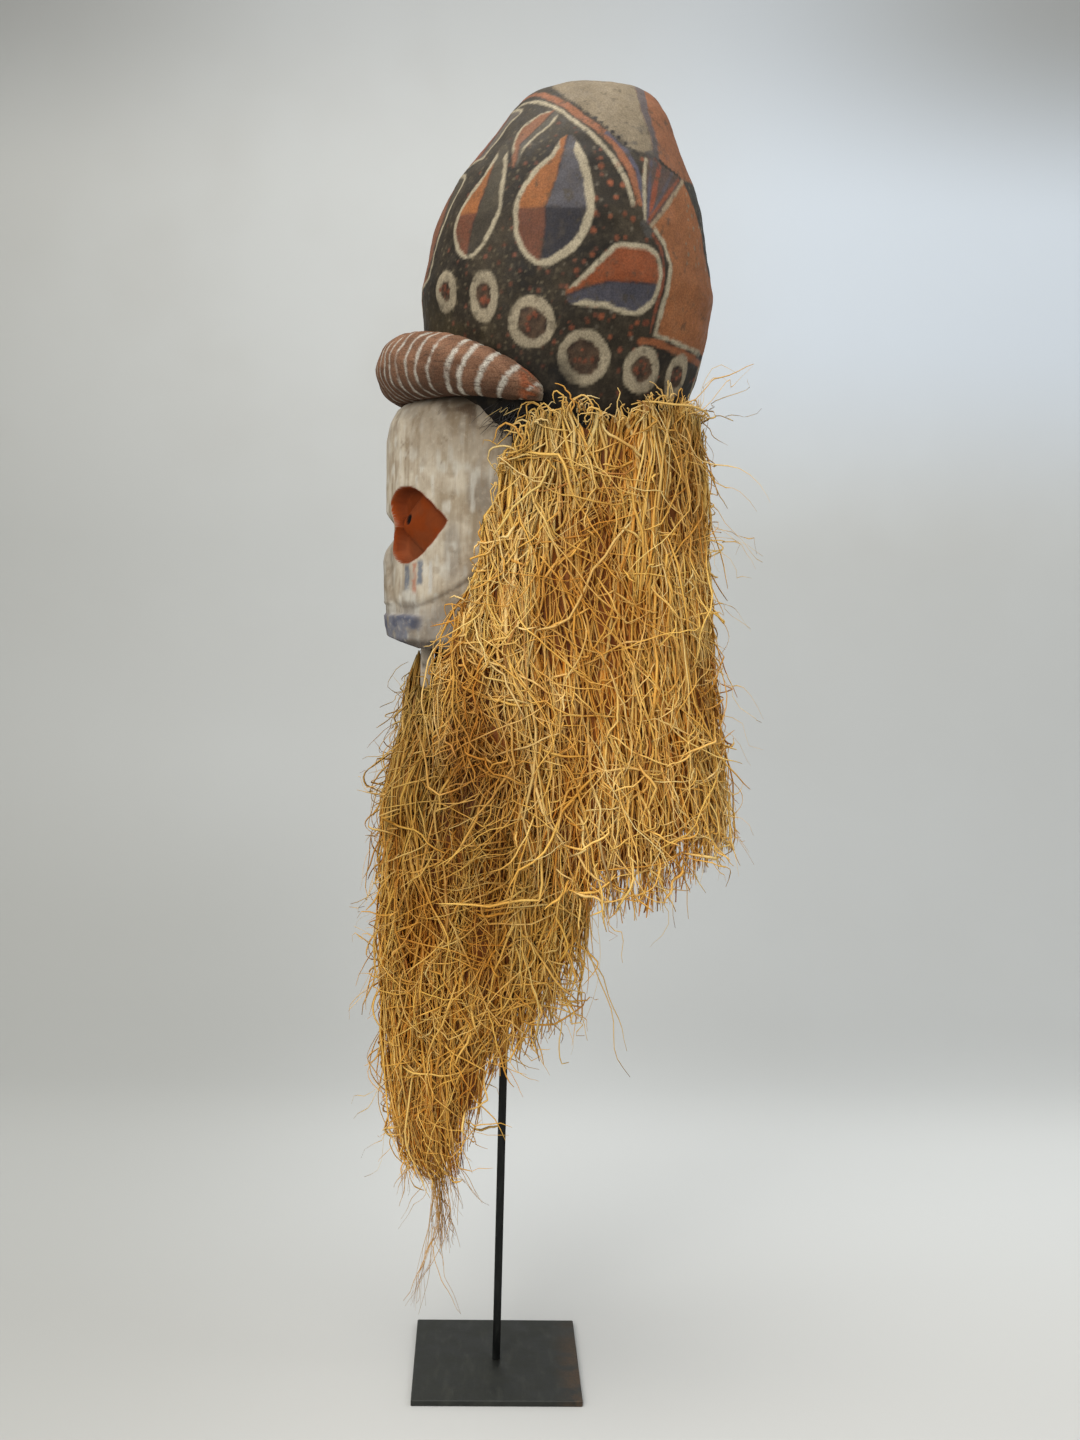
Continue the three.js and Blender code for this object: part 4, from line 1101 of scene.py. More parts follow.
t = Nodes("clay_on_wood")
grain_fine = t.noise(1.1, 4, stretch=(1, 1, 0.06))
speck, chalk = t.noise(0.8, 2), t.noise(5, 4)
base = t.painted().outputs["Color"]
dry = t.painted("dry").outputs["Fac"]
worn_grain = t.math("MULTIPLY", dry, t.ramp(grain_fine, 0.5, 0.78, 0, 0.4))
base = t.mix(worn_grain, base, swatch(134, 112, 86))
chalky = t.math("MULTIPLY", dry, t.ramp(chalk, 0.5, 0.8, 0, 0.25))
base = t.mix(chalky, base, swatch(196, 186, 166))
base = t.mix(t.ramp(speck, 0.62, 0.8, 0, 0.5), base, swatch(150, 130, 108), "MULTIPLY")
fine_relief = t.math("ADD", t.math("MULTIPLY", grain_fine, 0.9), t.math("MULTIPLY", speck, 0.3))
t.bump(fine_relief, 0.45, 0.5)
clay_on_wood = t.finish(base, 0.85, gloss=0.1)
dry = np.concatenate([1 - in_socket.ravel(), np.full(len(points) - count, 1.0)])
piece("carved_face", points, faces, clay_on_wood, {"paint": colour, "dry": dry},
      stands_for=["face"])

# %% [markdown]
# ## Raffia: hanging strands
#
# Raffia is torn from young palm leaves into flat, springy ribbons one to three millimetres wide.
# They are tied in tufts along the rim, fan out from each knot, and hang down waving, kinked and
# crossing each other. A curtain gives each strand its place: a distance along the plan, a height,
# and how far it stands out from the bundle.

# %% Raffia: the two curtains
HAIR_POWER, BEARD_POWER = 2.4, 2.2
HAIR_EDGE_Y, BEARD_EDGE_Y, HAIR_EDGE_TOP = -72.0, 78.0, 932.0
HAIR_LEVELS = np.array([  # height, front, half width, back
    [556, -125, 135, 219], [640, -125, 134, 211], [740, -125, 132, 198], [820, -125, 129, 188],
    [880, -125, 126, 185], [930, -125, 121, 182], [972, -125, 115, 179], [1001, -125, 110, 174],
], float)
HAIR_TOP = np.array([  # y, height of the knots
    (-72, 748), (-60, 778), (-44, 792), (-30, 806), (-25, 862), (-10, 880), (-7, 922), (8, 932),
    (20, 948), (32, 968), (53, 972), (66, 979), (80, 977), (94, 971), (112, 967), (127, 969),
    (138, 974), (151, 981), (172, 988), (230, 980)])
HAIR_HEM = np.array([  # y, height of the tips
    (-72, 670), (-40, 640), (10, 572), (40, 526), (70, 514), (110, 516), (150, 530), (190, 560),
    (230, 578)])
BEARD_LEVELS = np.array([
    [170, -74, 12, 14], [200, -86, 22, 40], [232, -103, 34, 70], [280, -115, 48, 96],
    [332, -121, 62, 118], [384, -124, 75, 130], [430, -126, 83, 134], [484, -126, 90, 136],
    [538, -127, 94, 137], [599, -126, 96, 138], [660, -113, 92, 137], [711, -106, 84, 134],
    [744, -98, 76, 130],
], float)
BEARD_TOP = np.array([(-130, 734), (-86, 736), (-70, 744), (78, 746)])
BEARD_HEM = np.array([
    (-130, 224), (-62, 206), (-36, 244), (-23, 288), (-14, 324), (0, 352), (25, 364), (42, 386),
    (53, 400), (66, 430), (72, 452), (78, 484)])
# Where strands start lower and leave the tongue of wood bare: share of the plan, half, depth.
BEARD_PARTING = (0.382, 0.095, 26.0)


class Curtain:
    """Plan ovals by height, with arc length along the widest one to place strands evenly."""

    def __init__(self, levels, power, top, hem, start, parting=(0.5, 0.1, 0.0), edge_top=0.0):
        self.levels, self.power, self.top, self.hem, self.parting = levels, power, top, hem, parting
        self.widest = levels[np.argmax(levels[:, 2])]
        self.angles = np.linspace(*start, 721)
        _, front, half, back = self.widest
        x, y = oval(self.angles, front, back, half, power)
        self.length = np.concatenate([[0], np.cumsum(np.hypot(np.diff(x), np.diff(y)))])
        self.total = self.length[-1]
        self.edge_places, self.edge_top = np.linspace(0, self.total / 2, 400), edge_top
        self.edge_heights = np.maximum.accumulate(self.knots(self.edge_places))

    def within(self, along, z):
        """Distances along the plan, kept behind the sloping tied edge at both ends."""
        edge = np.interp(np.minimum(z - 8, self.edge_top), self.edge_heights, self.edge_places)
        return np.clip(along, 1 + edge, self.total - 1 - edge)

    def place(self, along, z, grow):
        """Point at a distance along the plan and a height, grown outwards."""
        angle = np.interp(along, self.length, self.angles)
        front, half, back = (np.interp(z, self.levels[:, 0], self.levels[:, k]) for k in (1, 2, 3))
        grow = np.maximum(grow, -0.8 * np.minimum(half, (back - front) / 2))
        x, y = oval(angle, front, back, half, self.power, grow)
        return np.stack([x, y, z + 0 * x], -1)

    def height(self, line, along):
        """Height of a line, given by y and z, at distances along the plan."""
        y = self.place(along, self.widest[0], 0.0)[..., 1]
        return np.interp(y, line[:, 0], line[:, 1])

    def knots(self, along):
        """Height of the line where strands are tied: lower by the parting's depth inside it."""
        centre, half, depth = self.parting
        inside = smooth(half, 0.7 * half, np.abs(along / self.total - centre))
        return self.height(self.top, along) - depth * inside

    def hems(self, along):
        """Height of the lower edge."""
        return self.height(self.hem, along)


def edge_angle(levels, power, y):
    """Angle at which the widest oval reaches a given y: the inverse of its cosine power."""
    _, front, _, back = levels[np.argmax(levels[:, 2])]
    share = ((front + back) / 2 - y) / ((back - front) / 2)
    return np.arccos(signed_power(np.clip(share, -1, 1), power / 2))


hair_edge = edge_angle(HAIR_LEVELS, HAIR_POWER, HAIR_EDGE_Y)
beard_edge = edge_angle(BEARD_LEVELS, BEARD_POWER, BEARD_EDGE_Y)
hair = Curtain(HAIR_LEVELS, HAIR_POWER, HAIR_TOP, HAIR_HEM, (hair_edge, 2 * np.pi - hair_edge),
               edge_top=HAIR_EDGE_TOP)
beard = Curtain(BEARD_LEVELS, BEARD_POWER, BEARD_TOP, BEARD_HEM, (beard_edge, -beard_edge),
                BEARD_PARTING)
print("hair plan", hair.total.round(), "mm, beard plan", beard.total.round(), "mm")

# %% [markdown]
# No strand is straight. Long waves bend it, short kinks come from the way it dried, and a few sharp
# bends from handling. Each of these is a row of numbers from one end of the strand to the other.
# Far-flung ends are bent back, so that they stay within the box that the solids fill.

# %% Raffia: waves, bends and reach
REACH_LOW, REACH_HIGH = np.array([-145, -149, -1e3]), np.array([145, 241, 2e3])
REACH_EASE = 8.0


def waves(rng, count, along, sizes, turns, kinked=False):
    """Sum of sine waves, one random phase and pitch for each strand. Kinked ones are triangles."""
    total = np.zeros((count, len(along)))
    for size, (low, high) in zip(sizes, turns):
        turn = rng.uniform(low, high, (count, 1)) * along + rng.uniform(0, 1, (count, 1))
        wave = np.sin(2 * np.pi * turn)
        wave = np.arcsin(wave) * 2 / np.pi if kinked else wave
        total += size * rng.uniform(0.2, 1.0, (count, 1)) * wave
    return total


def broken(rng, count, steps, share, size):
    """Broken line for each strand: straight but for a few random bends, and zero at both ends."""
    bends = rng.normal(0, size, (count, steps)) * (rng.random((count, steps)) < share)
    line = np.cumsum(np.cumsum(bends, 1), 1)
    return line - line[:, :1] - (line[:, -1:] - line[:, :1]) * np.linspace(0, 1, steps)


def within_reach(paths):
    """Bends far-flung ends back: beyond a limit, excess e becomes ease * tanh(e / ease)."""
    over, under = np.maximum(paths - REACH_HIGH, 0), np.maximum(REACH_LOW - paths, 0)
    eased = np.tanh(over / REACH_EASE) - np.tanh(under / REACH_EASE)
    return paths - over + under + REACH_EASE * eased

# %% [markdown]
# A strand is a thin closed tube with three sides, flattened and twisted like a ribbon. Three sides
# are enough for something so thin, and keep some thousands of strands light.

# %% Raffia: tubes
def tubes(paths, width, tint, flat=0.32, spin=0.0):
    """Closed three-sided tubes along paths (strands, points, 3): corners = side cos + out sin."""
    count, steps = paths.shape[:2]
    tangent = np.gradient(paths, axis=1)
    tangent /= np.maximum(np.linalg.norm(tangent, axis=-1, keepdims=True), 1e-9)
    outward = paths * [1, 1, 0] - [0, 30, 0] + [0.01, 0, 0]
    side = np.cross(outward, tangent)
    side /= np.maximum(np.linalg.norm(side, axis=-1, keepdims=True), 1e-9)
    outward = np.cross(tangent, side)
    spin = (spin + np.zeros((count, steps)))[..., None]
    side, outward = (side * np.cos(spin) + outward * np.sin(spin),
                     outward * np.cos(spin) - side * np.sin(spin))
    turn = np.radians([90, 210, 330])
    points = paths[:, :, None] + width[..., None, None] / 2 * (
        np.cos(turn)[:, None] * side[:, :, None]
        + flat * np.sin(turn)[:, None] * outward[:, :, None])
    one = grid_faces(steps, 3)
    offset = (np.arange(count) * steps * 3)[:, None, None]
    caps = np.array([[2, 1, 0], [steps * 3 - 3, steps * 3 - 2, steps * 3 - 1]])
    faces = [(one + offset).reshape(-1, 4), (caps + offset).reshape(-1, 3)]
    return points.reshape(-1, 3), faces, np.repeat(tint.reshape(-1, 3), 3, axis=0)


def tapered(rng, count, steps, low, high, shares):
    """Widths along strands: a random width for each, times shares at its root, 0.7 and tip."""
    taper = np.interp(np.linspace(0, 1, steps), [0, 0.7, 1], shares)
    return rng.uniform(low, high, (count, 1)) * taper

# %% [markdown]
# Dry raffia is the colour of straw, and no two strands match. Shade is painted into the strands:
# they are darker deep in the bundle, at the root, in the hollows between the locks and under the
# jaw. Raffia lets red light through and keeps blue back, so this painted shade is not grey but
# red-brown.

# %% Raffia: colours
STRAW = np.array([srgb(238, 202, 124), srgb(240, 210, 142), srgb(233, 191, 103),
                  srgb(240, 215, 154), srgb(218, 170, 85), srgb(237, 198, 113),
                  srgb(192, 144, 82)])
STRAW_SHARE = [0.28, 0.2, 0.21, 0.07, 0.1, 0.12, 0.02]
DEEP_SHADE_TINT, BROWN_TIP = np.array([0.98, 0.53, 0.08]), srgb(104, 70, 62)
GAP_SHADE, JAW_SHADE = np.array([0.2, 0.35, 0.55]), np.array([0.5, 0.65, 0.81])
JAW_Y, JAW_Z, JAW_LONG, JAW_HIGH = -30.0, 640.0, 48.0, 62.0


def hollows(curtain, along, z):
    """Share by which the bundle sinks in between locks and under the jaw, and the painted shade
    there.

    The light left is 1 minus a loss that grows from red to blue: painted shade, red-brown rather
    than grey.
    """
    places = np.stack([along, 0 * along, z * 0.28], -1)
    gap = smooth(0.0, 0.65, noise(places, 22, int(curtain.total)))
    y = curtain.place(along, z, 0.0)[..., 1]
    jaw = np.exp(-((y - JAW_Y) / JAW_LONG) ** 2 - ((z - JAW_Z) / JAW_HIGH) ** 2)
    light = (1 - gap[..., None] * GAP_SHADE) * (1 - jaw[..., None] * JAW_SHADE)
    return np.maximum(gap, 0.95 * jaw), light


def strand_tints(rng, count, steps, depth, root_shade=0.0, brown_tip=0.0):
    """Colour of each strand point: a straw tone, with painted shade that makes it darker at the
    root and darker and redder deep in the bundle.
    """
    tone = STRAW[rng.choice(len(STRAW), count, p=STRAW_SHARE)] * rng.uniform(0.86, 1.04, (count, 1))
    along = np.linspace(0, 1, steps)
    shade = 1 - root_shade * np.exp(-along / 0.05)
    tint = tone[:, None] * shade[None, :, None] * (1 - depth[:, None, None] * (1 - DEEP_SHADE_TINT))
    tint = np.minimum(tint, 0.9)
    tip = brown_tip * rng.uniform(-1, 1, (count, 1)).clip(0) * smooth(0.75, 1.0, along)
    return cover(tint, BROWN_TIP, tip)


def dyed(tint, light, z, look):
    """Tints times the painted shade of the hollows, the bundle's own dye and painted shade by
    height.
    """
    return tint * light * look["dye"] * np.interp(z, *look["shade_by_height"])[..., None]

# %% [markdown]
# The long strands fan out from knots that are shared by a tuft, so they hang in locks. Some end
# early, some lean across their neighbours, and none hangs below the hem of the place it arrives at.

# %% Raffia: long hanging strands
def hang(curtain, rng, count, span, steps, look):
    """Long strands of one curtain between two shares of its plan.

    Height = top - drop * t. Distance along the plan = knot + fan + waves + lean * drop * t.
    """
    low, high = span[0] * curtain.total, span[1] * curtain.total
    t = np.linspace(0, 1, steps) ** 1.1
    tuft = rng.integers(int(low / look["tuft"]), int(high / look["tuft"]) + 1, count)
    number = tuft.max() + 1
    knot = (tuft + 0.5 + rng.uniform(-0.25, 0.25, number)[tuft]) * look["tuft"]
    fan = rng.uniform(-0.75, 0.75, count) * look["tuft"]
    layer = rng.random(count) ** 0.8
    top = curtain.knots(knot + 0.3 * fan) + rng.normal(0, look["knot_spread"], number)[tuft] \
        + rng.normal(0, 2.0, count) - 5 * layer
    hem = curtain.hems(knot + fan) \
        + rng.normal(0, look["hem_spread"], number)[tuft].clip(-16, 24) \
        + np.clip(rng.normal(0, look["hem_spread"] * 0.8, count), -20, 26)
    short = rng.random(count) < look["short"]
    hem = np.where(short, top - (top - hem) * rng.uniform(0.3, 0.9, count), hem)
    wild = rng.random(count) < look["wild"]
    lean = np.clip(rng.normal(0, np.where(wild, 0.24, 0.06)), -0.4, 0.4)
    arrival = np.clip(knot + fan + lean * (top - hem), 1, curtain.total - 1)
    hem = np.maximum(hem, curtain.hems(arrival) - 22)
    drop = np.maximum(top - hem, 30)[:, None]
    looped = look["loop"] * rng.uniform(0, 1, (count, 1)) * np.sin(np.pi * np.clip(t * 9, 0, 1))
    z = top[:, None] - drop * t + looped
    scale = drop / 420
    spread = 0.22 + 0.78 * smooth(0, 60, drop * t)
    free = 0.15 + 0.85 * smooth(0, 34, drop * t)
    wander = waves(rng, count, t, (12, 5), ((0.4, 1.3), (1.4, 3.0))) * (0.4 + 0.6 * scale) \
        + waves(rng, count, t, (3.6, 2.6), ((2.5, 5.0), (5.0, 8.5)), kinked=True) \
        * (0.3 + 0.7 * scale) + broken(rng, count, steps, 0.2, 2.4) * scale
    shared = waves(rng, number, t, (7, 3), ((0.3, 0.9), (1.0, 2.2)))[tuft]
    along = knot[:, None] + fan[:, None] * spread + (wander + shared) * free \
        + lean[:, None] * t * drop
    along = curtain.within(along, z)
    weave = waves(rng, count, t, (3.6, 3.0), ((0.6, 2.0), (2.5, 6.0)))
    bulge = rng.normal(0, 3.0, number)[tuft][:, None] \
        + waves(rng, number, t, (3.2, 1.6), ((0.4, 1.2), (1.5, 3.0)))[tuft]
    sunk, light = hollows(curtain, along, z)
    grow = look["skin"] - look["deep"] * layer[:, None] + (weave + bulge) * free \
        - 4 * np.exp(-drop * t / 14) - 7 * sunk * free
    paths = within_reach(curtain.place(along, z, grow))
    broad = rng.random((count, 1))
    ribbon = rng.uniform(*look["width"], (count, 1)) \
        * np.where(broad < 0.03, 2.0, np.where(broad < 0.15, 1.4, 1))
    width = ribbon * np.interp(t, [0, 0.05, 0.8, 1], [0.7, 1, 0.85, 0.35])
    spin = rng.uniform(-0.7, 0.7, (count, 1)) \
        + waves(rng, count, t, (1.1, 0.4), ((0.5, 3.0), (3.0, 6.0)))
    tint = strand_tints(rng, count, steps, layer, look["root"], 0.9)
    return tubes(paths, width, dyed(tint, light, z, look), spin=spin)

# %% [markdown]
# Broken ends and short fibres lie loose on top of the bundle. Each sets off in its own direction
# and turns as it goes, and its end or its middle lifts off the rest.

# %% Raffia: short loose strands
def curls(curtain, rng, count, span, steps, look):
    """Short loose strands: the heading is a running sum of turns, the path a sum of its steps."""
    t = np.linspace(0, 1, steps)
    start = rng.uniform(span[0], span[1], count) * curtain.total
    top, hem = curtain.knots(start), curtain.hems(start)
    z0 = hem + (top - hem) * rng.uniform(0.0, 1.0, count) ** look["rise"]
    length = rng.gamma(3.0, look["length"] / 3, count).clip(18, 190)
    heading = np.where(rng.random(count) < 0.2, rng.uniform(-1.8, 1.8, count),
                       rng.normal(0, 0.45, count))
    turning = rng.normal(0, 0.45, count)
    bends = rng.normal(0, 0.55, (count, steps)) * (rng.random((count, steps)) < 0.24)
    heading = heading[:, None] + turning[:, None] * t + np.cumsum(bends, 1) \
        + waves(rng, count, t, (0.25, 0.2), ((0.8, 2.5), (2.5, 4.5)), kinked=True)
    step = (length / (steps - 1))[:, None]
    along = start[:, None] + np.cumsum(np.sin(heading), 1) * step
    z = z0[:, None] - np.cumsum(np.cos(heading), 1) * step
    loose = rng.random(count) < look["loose"]
    lift = np.where(loose, rng.uniform(4, look["reach"], count), rng.uniform(-2, 3, count))
    bowed = rng.random((count, 1)) < 0.45
    grow = (rng.uniform(-5, 3, count) + look["skin"])[:, None] \
        + waves(rng, count, t, (2.6,), ((0.7, 2.5),)) \
        + lift[:, None] * np.where(bowed, 0.75 * np.sin(np.pi * t), t**1.6)
    z += np.maximum(hem - rng.uniform(0, 36, count) - z.min(1), 0)[:, None]
    z -= np.maximum(z.max(1) - top - rng.uniform(-6, 9, count), 0)[:, None]
    along = curtain.within(along, z)
    z = np.minimum(z, curtain.knots(along) + rng.uniform(2, 12, (count, 1)))
    paths = within_reach(curtain.place(along, z, grow))
    width = rng.uniform(*look["width"], (count, 1)) * rng.uniform(0.5, 1.0, (count, 1)) \
        * np.interp(t, [0, 0.2, 0.8, 1], [0.55, 1, 0.8, 0.35])
    tint = strand_tints(rng, count, steps, rng.uniform(0, 0.3, count), 0.0, 0.8)
    _, light = hollows(curtain, along, z)
    spin = rng.uniform(-1.2, 1.2, (count, 1))
    return tubes(paths, width, dyed(tint, light, z, look), spin=spin)

# %% [markdown]
# Behind the strands that can be seen lie many more that cannot. One closed curtain with narrow
# ridges stands in for them, painted dark red-brown as the shade deep in the bundle.

# %% Raffia: the dark inside of a bundle
INSIDE_DARK, INSIDE_PALE = srgb(100, 50, 14), srgb(148, 88, 29)
INSIDE_TOP, INSIDE_HEM = 22.0, 34.0  # how far it ends below the knots and above the hem


def underlayer(curtain, rows, columns, outer, inner, turned, look):
    """Closed dark curtain: an outer and an inner grid, joined by strips along their four edges."""
    along = np.linspace(0.004, 0.996, columns) * curtain.total
    share = np.linspace(0, 1, rows)[:, None]
    flat = np.stack([along, 0 * along, 0 * along], -1)
    top = curtain.knots(along) - INSIDE_TOP
    hem = np.minimum(curtain.hems(along) + INSIDE_HEM + 16 * noise(flat, 9, 3), top - 12)
    z = hem + (top - hem) * share
    spread = along + 0 * z
    ridge = 2.2 * noise(np.stack([spread, 0 * z, z * 0.06], -1), 5, 4)
    outside = curtain.place(spread, z, outer + ridge)
    inside = curtain.place(spread, z, inner - 0.5 * ridge)
    if turned:
        outside, inside = outside[:, ::-1], inside[:, ::-1]
    points = np.concatenate([outside.reshape(-1, 3), inside.reshape(-1, 3)])
    # Painted shade: the curtain is dark red-brown, and darker by height as the strands are.
    shade = 0.5 + 0.5 * noise(points * [1, 1, 0.08], 4, 6)
    height_shade = np.interp(points[:, 2], *look["shade_by_height"])[:, None]
    return points, shell_faces(rows, columns), cover(INSIDE_DARK, INSIDE_PALE, shade) * height_shade

# %% [markdown]
# The fibre's own finish is a silky sheen with fine lines along the strand and a few browner
# stretches. The tone of each strand comes from its points.

# %% Raffia: material
t = Nodes("raffia")
fibre, mottle = t.noise(1.2, 3, stretch=(1, 1, 0.08)), t.noise(14, 3)
base = t.mix(t.ramp(fibre, 0.35, 0.75, 0, 0.3), t.painted().outputs["Color"],
             swatch(222, 186, 132), "MULTIPLY")
base = t.mix(t.ramp(mottle, 0.5, 0.75, 0, 0.12), base, swatch(194, 140, 70))
t.bump(fibre, 0.5, 0.6)
raffia = t.finish(base, 0.5, gloss=0.18)


def raffia_piece(name, made, *nodes):
    """Piece of raffia from its points, faces and colours."""
    points, faces, colour = made
    piece(name, points, faces, raffia, {"paint": colour}, stands_for=nodes)

# %% [markdown]
# The hair springs from the rim, so it is fuller and brighter. The side that the photograph shows
# has more strands than the other.

# %% Raffia: hair
HAIR_LOOK = {
    "tuft": 31.0, "knot_spread": 4.0, "hem_spread": 13.0, "short": 0.24, "wild": 0.16,
    "loop": 13.0, "deep": 15.0, "skin": 1.0, "width": (1.7, 4.2), "root": 0.25,
    "rise": 1.0, "length": 68.0, "loose": 0.35, "reach": 24.0, "dye": (1.01, 1.02, 0.95),
    # The last entry is painted shade that darkens the hair towards its knots under the rim.
    "shade_by_height": ((560, 700, 850, 960), (1.05, 1.02, 0.96, 0.72)),
}
CURL_STEPS = 12


def bundle(curtain, rng, prefix, node, sides, look):
    """Long strands and loose curls of both sides: name, share of the plan, counts and points."""
    for side, span, long_ones, short_ones, steps in sides:
        raffia_piece(prefix + side, hang(curtain, rng, long_ones, span, steps, look), node)
        raffia_piece(prefix + side + "_curls",
                     curls(curtain, rng, short_ones, span, CURL_STEPS, look), node)


bundle(hair, np.random.default_rng(11), "hair_", "raffia_hair",
       (("left", (0.0, 0.5), 980, 1200, 22), ("right", (0.5, 1.0), 580, 380, 18)), HAIR_LOOK)
raffia_piece("hair_underlayer", underlayer(hair, 20, 170, -9, -20, False, HAIR_LOOK), "raffia_hair")

# %% [markdown]
# The beard is tied round the jaw. It is longer, narrower and a little redder than the hair, and its
# locks close to a tuft well below the chin.

# %% Raffia: beard
BEARD_LOOK = {
    "tuft": 20.0, "knot_spread": 3.0, "hem_spread": 13.0, "short": 0.3, "wild": 0.16,
    "loop": 3.0, "deep": 16.0, "skin": 1.0, "width": (1.6, 4.0), "root": 0.3,
    "rise": 0.9, "length": 66.0, "loose": 0.46, "reach": 30.0, "dye": (1.03, 0.965, 0.74),
    # The last entry is painted shade that darkens the beard towards the top, under the jaw and the
    # hair.
    "shade_by_height": ((200, 330, 480, 700), (1.2, 0.97, 0.84, 0.54)),
}
bundle(beard, np.random.default_rng(12), "beard_", "raffia_beard",
       (("left", (0.0, 0.5), 860, 1200, 22), ("right", (0.5, 1.0), 480, 420, 18)), BEARD_LOOK)
raffia_piece("beard_underlayer", underlayer(beard, 24, 120, -8, -19, True, BEARD_LOOK),
             "raffia_beard")

# %% [markdown]
# A few strands leave the bundle: wisps that go on below the tuft, with frayed brown ends, loops
# along the top of the hair, and odd strands that stick out behind and below.

# %% Raffia: wisps below the tuft
rng = np.random.default_rng(13)


def free_strands(starts, ends, steps, sizes):
    """Strands between two lists of points, bent sideways by waves that start and end small."""
    t = np.linspace(0, 1, steps)
    paths = starts[:, None] * (1 - t)[None, :, None] + ends[:, None] * t[None, :, None]
    bend = np.minimum(1, np.minimum(t * 5, 2 - t))
    for axis in (0, 1, 2):
        paths[..., axis] += waves(rng, len(starts), t, sizes, ((0.5, 1.3), (1.5, 3.0))) * bend
    return paths


def around_point(centre, spread, count):
    """Random points round a centre: centre + normal numbers times the spread."""
    return np.array(centre, float) + rng.normal(0, 1, (count, 3)) * spread


WISP_STEPS = 14
WISPS = [  # start, end, how many strands
    ((4, -66, 246), (6, -58, 128), 30), ((0, -62, 240), (-4, -82, 62), 7),
    ((6, -60, 150), (2, -88, 70), 7), ((8, -58, 244), (10, -42, 160), 8),
    ((-4, -90, 236), (-6, -104, 176), 4), ((10, -84, 246), (12, -98, 186), 5),
    ((6, -60, 236), (14, -18, 176), 3), ((2, -58, 190), (0, -48, 124), 5),
    ((-6, -66, 240), (-12, -66, 140), 9), ((10, -68, 128), (14, -40, 64), 2),
    ((6, -66, 200), (2, -104, 156), 2),
]
tail = np.concatenate([
    free_strands(around_point(start, (3, 4, 6), count), around_point(end, (2.5, 3.5, 8), count),
                 WISP_STEPS, (4.0, 2.0))
    for start, end, count in WISPS])
width = tapered(rng, len(tail), WISP_STEPS, 1.3, 2.7, [1, 0.8, 0.35])
brown = smooth(0.3, 1.0, np.linspace(0, 1, WISP_STEPS)) * rng.uniform(0.1, 0.9, (len(tail), 1))
raffia_piece("tail_wisps", tubes(tail, width, cover(srgb(212, 164, 88), srgb(126, 88, 60), brown)),
             "raffia_beard")

# %% [markdown]
# Where the hair is tied, strands rise from the knot, bend over and come down again. Each loop is
# an arc: its height is a sine of the turn, and its distance along the rim a cosine.

# %% Raffia: loops along the rim
LOOPS, LOOP_STEPS, LOOP_START = 300, 12, 0.35
tuft = rng.integers(1, int(hair.total / HAIR_LOOK["tuft"]), LOOPS)
place = (tuft + 0.5 + rng.normal(0, 0.3, LOOPS)) * HAIR_LOOK["tuft"]
rise = rng.gamma(2.5, 4.0, LOOPS).clip(2, 30)
sweep_end = np.where(rng.random(LOOPS) < 0.55, rng.uniform(0.9, 2.0, LOOPS),
                     rng.uniform(2.6, 4.4, LOOPS))
t = np.linspace(0, 1, LOOP_STEPS)
turn = -LOOP_START + (sweep_end + LOOP_START)[:, None] * t
crumple = waves(rng, LOOPS, t, (2.4, 1.6), ((0.8, 2.0), (2.5, 4.5)), kinked=True)
along = place[:, None] + rng.normal(0, 17, (LOOPS, 1)) * (1 - np.cos(turn)) / 2 + crumple
z = (hair.knots(place) - 7)[:, None] + rise[:, None] * np.sin(turn) \
    - 9 * np.maximum(turn - np.pi, 0) + crumple[::-1] * 0.5
paths = hair.place(np.clip(along, 1, hair.total - 1), z,
                   rng.uniform(-4, 5, (LOOPS, 1)) + 4 * np.sin(turn))
width = tapered(rng, LOOPS, LOOP_STEPS, 1.0, 2.6, [1, 0.9, 0.45])
tint = strand_tints(rng, LOOPS, LOOP_STEPS, rng.uniform(0, 0.3, LOOPS)) * 0.82
raffia_piece("hair_loops", tubes(paths, width, tint), "raffia_hair")

# %% [markdown]
# Odd strands leave the outline behind the neck, beside the face and along the beard. They were
# placed one pair at a time, by their two ends.

# %% Raffia: odd strands
STRAY_STEPS = 12
STRAYS = [  # start, end
    ((92, 74, 470), (88, 118, 366)), ((60, 158, 984), (40, 226, 1022)),
    ((90, 150, 980), (92, 196, 996)), ((70, 170, 860), (50, 232, 800)),
    ((30, 176, 820), (26, 234, 770)), ((40, 180, 720), (30, 240, 640)),
    ((84, 176, 640), (84, 238, 560)), ((84, 150, 950), (80, 228, 905)),
    ((60, 166, 910), (52, 236, 840)), ((54, -110, 540), (46, -152, 478)),
    ((66, 176, 750), (60, 240, 690)), ((56, 166, 880), (52, 232, 846)),
    ((40, -118, 470), (26, -158, 452)), ((50, -116, 420), (30, -156, 372)),
    ((30, -108, 330), (20, -152, 296)), ((40, -112, 600), (34, -150, 628)),
    ((20, -102, 280), (10, -140, 240)), ((96, 60, 430), (104, 76, 372)),
    ((-60, 196, 990), (-48, 236, 1010)), ((-96, 40, 470), (-106, 70, 400)),
    ((-50, -116, 500), (-40, -154, 452)), ((128, 90, 560), (134, 104, 484)),
    ((126, 130, 560), (136, 146, 490)), ((116, -20, 800), (114, -60, 792)),
    ((104, -46, 780), (96, -74, 770)), ((98, -6, 905), (92, -34, 880)),
    ((106, 10, 960), (100, -34, 944)),
]
starts, ends = (np.repeat([pair[k] for pair in STRAYS], 2, 0).astype(float) for k in (0, 1))
starts = starts + rng.normal(0, 6, starts.shape)
ends = ends + rng.normal(0, (8, 5, 14), ends.shape)
paths = within_reach(free_strands(starts, ends, STRAY_STEPS, (8, 5)))
width = tapered(rng, len(paths), STRAY_STEPS, 0.9, 1.8, [1, 0.85, 0.4])
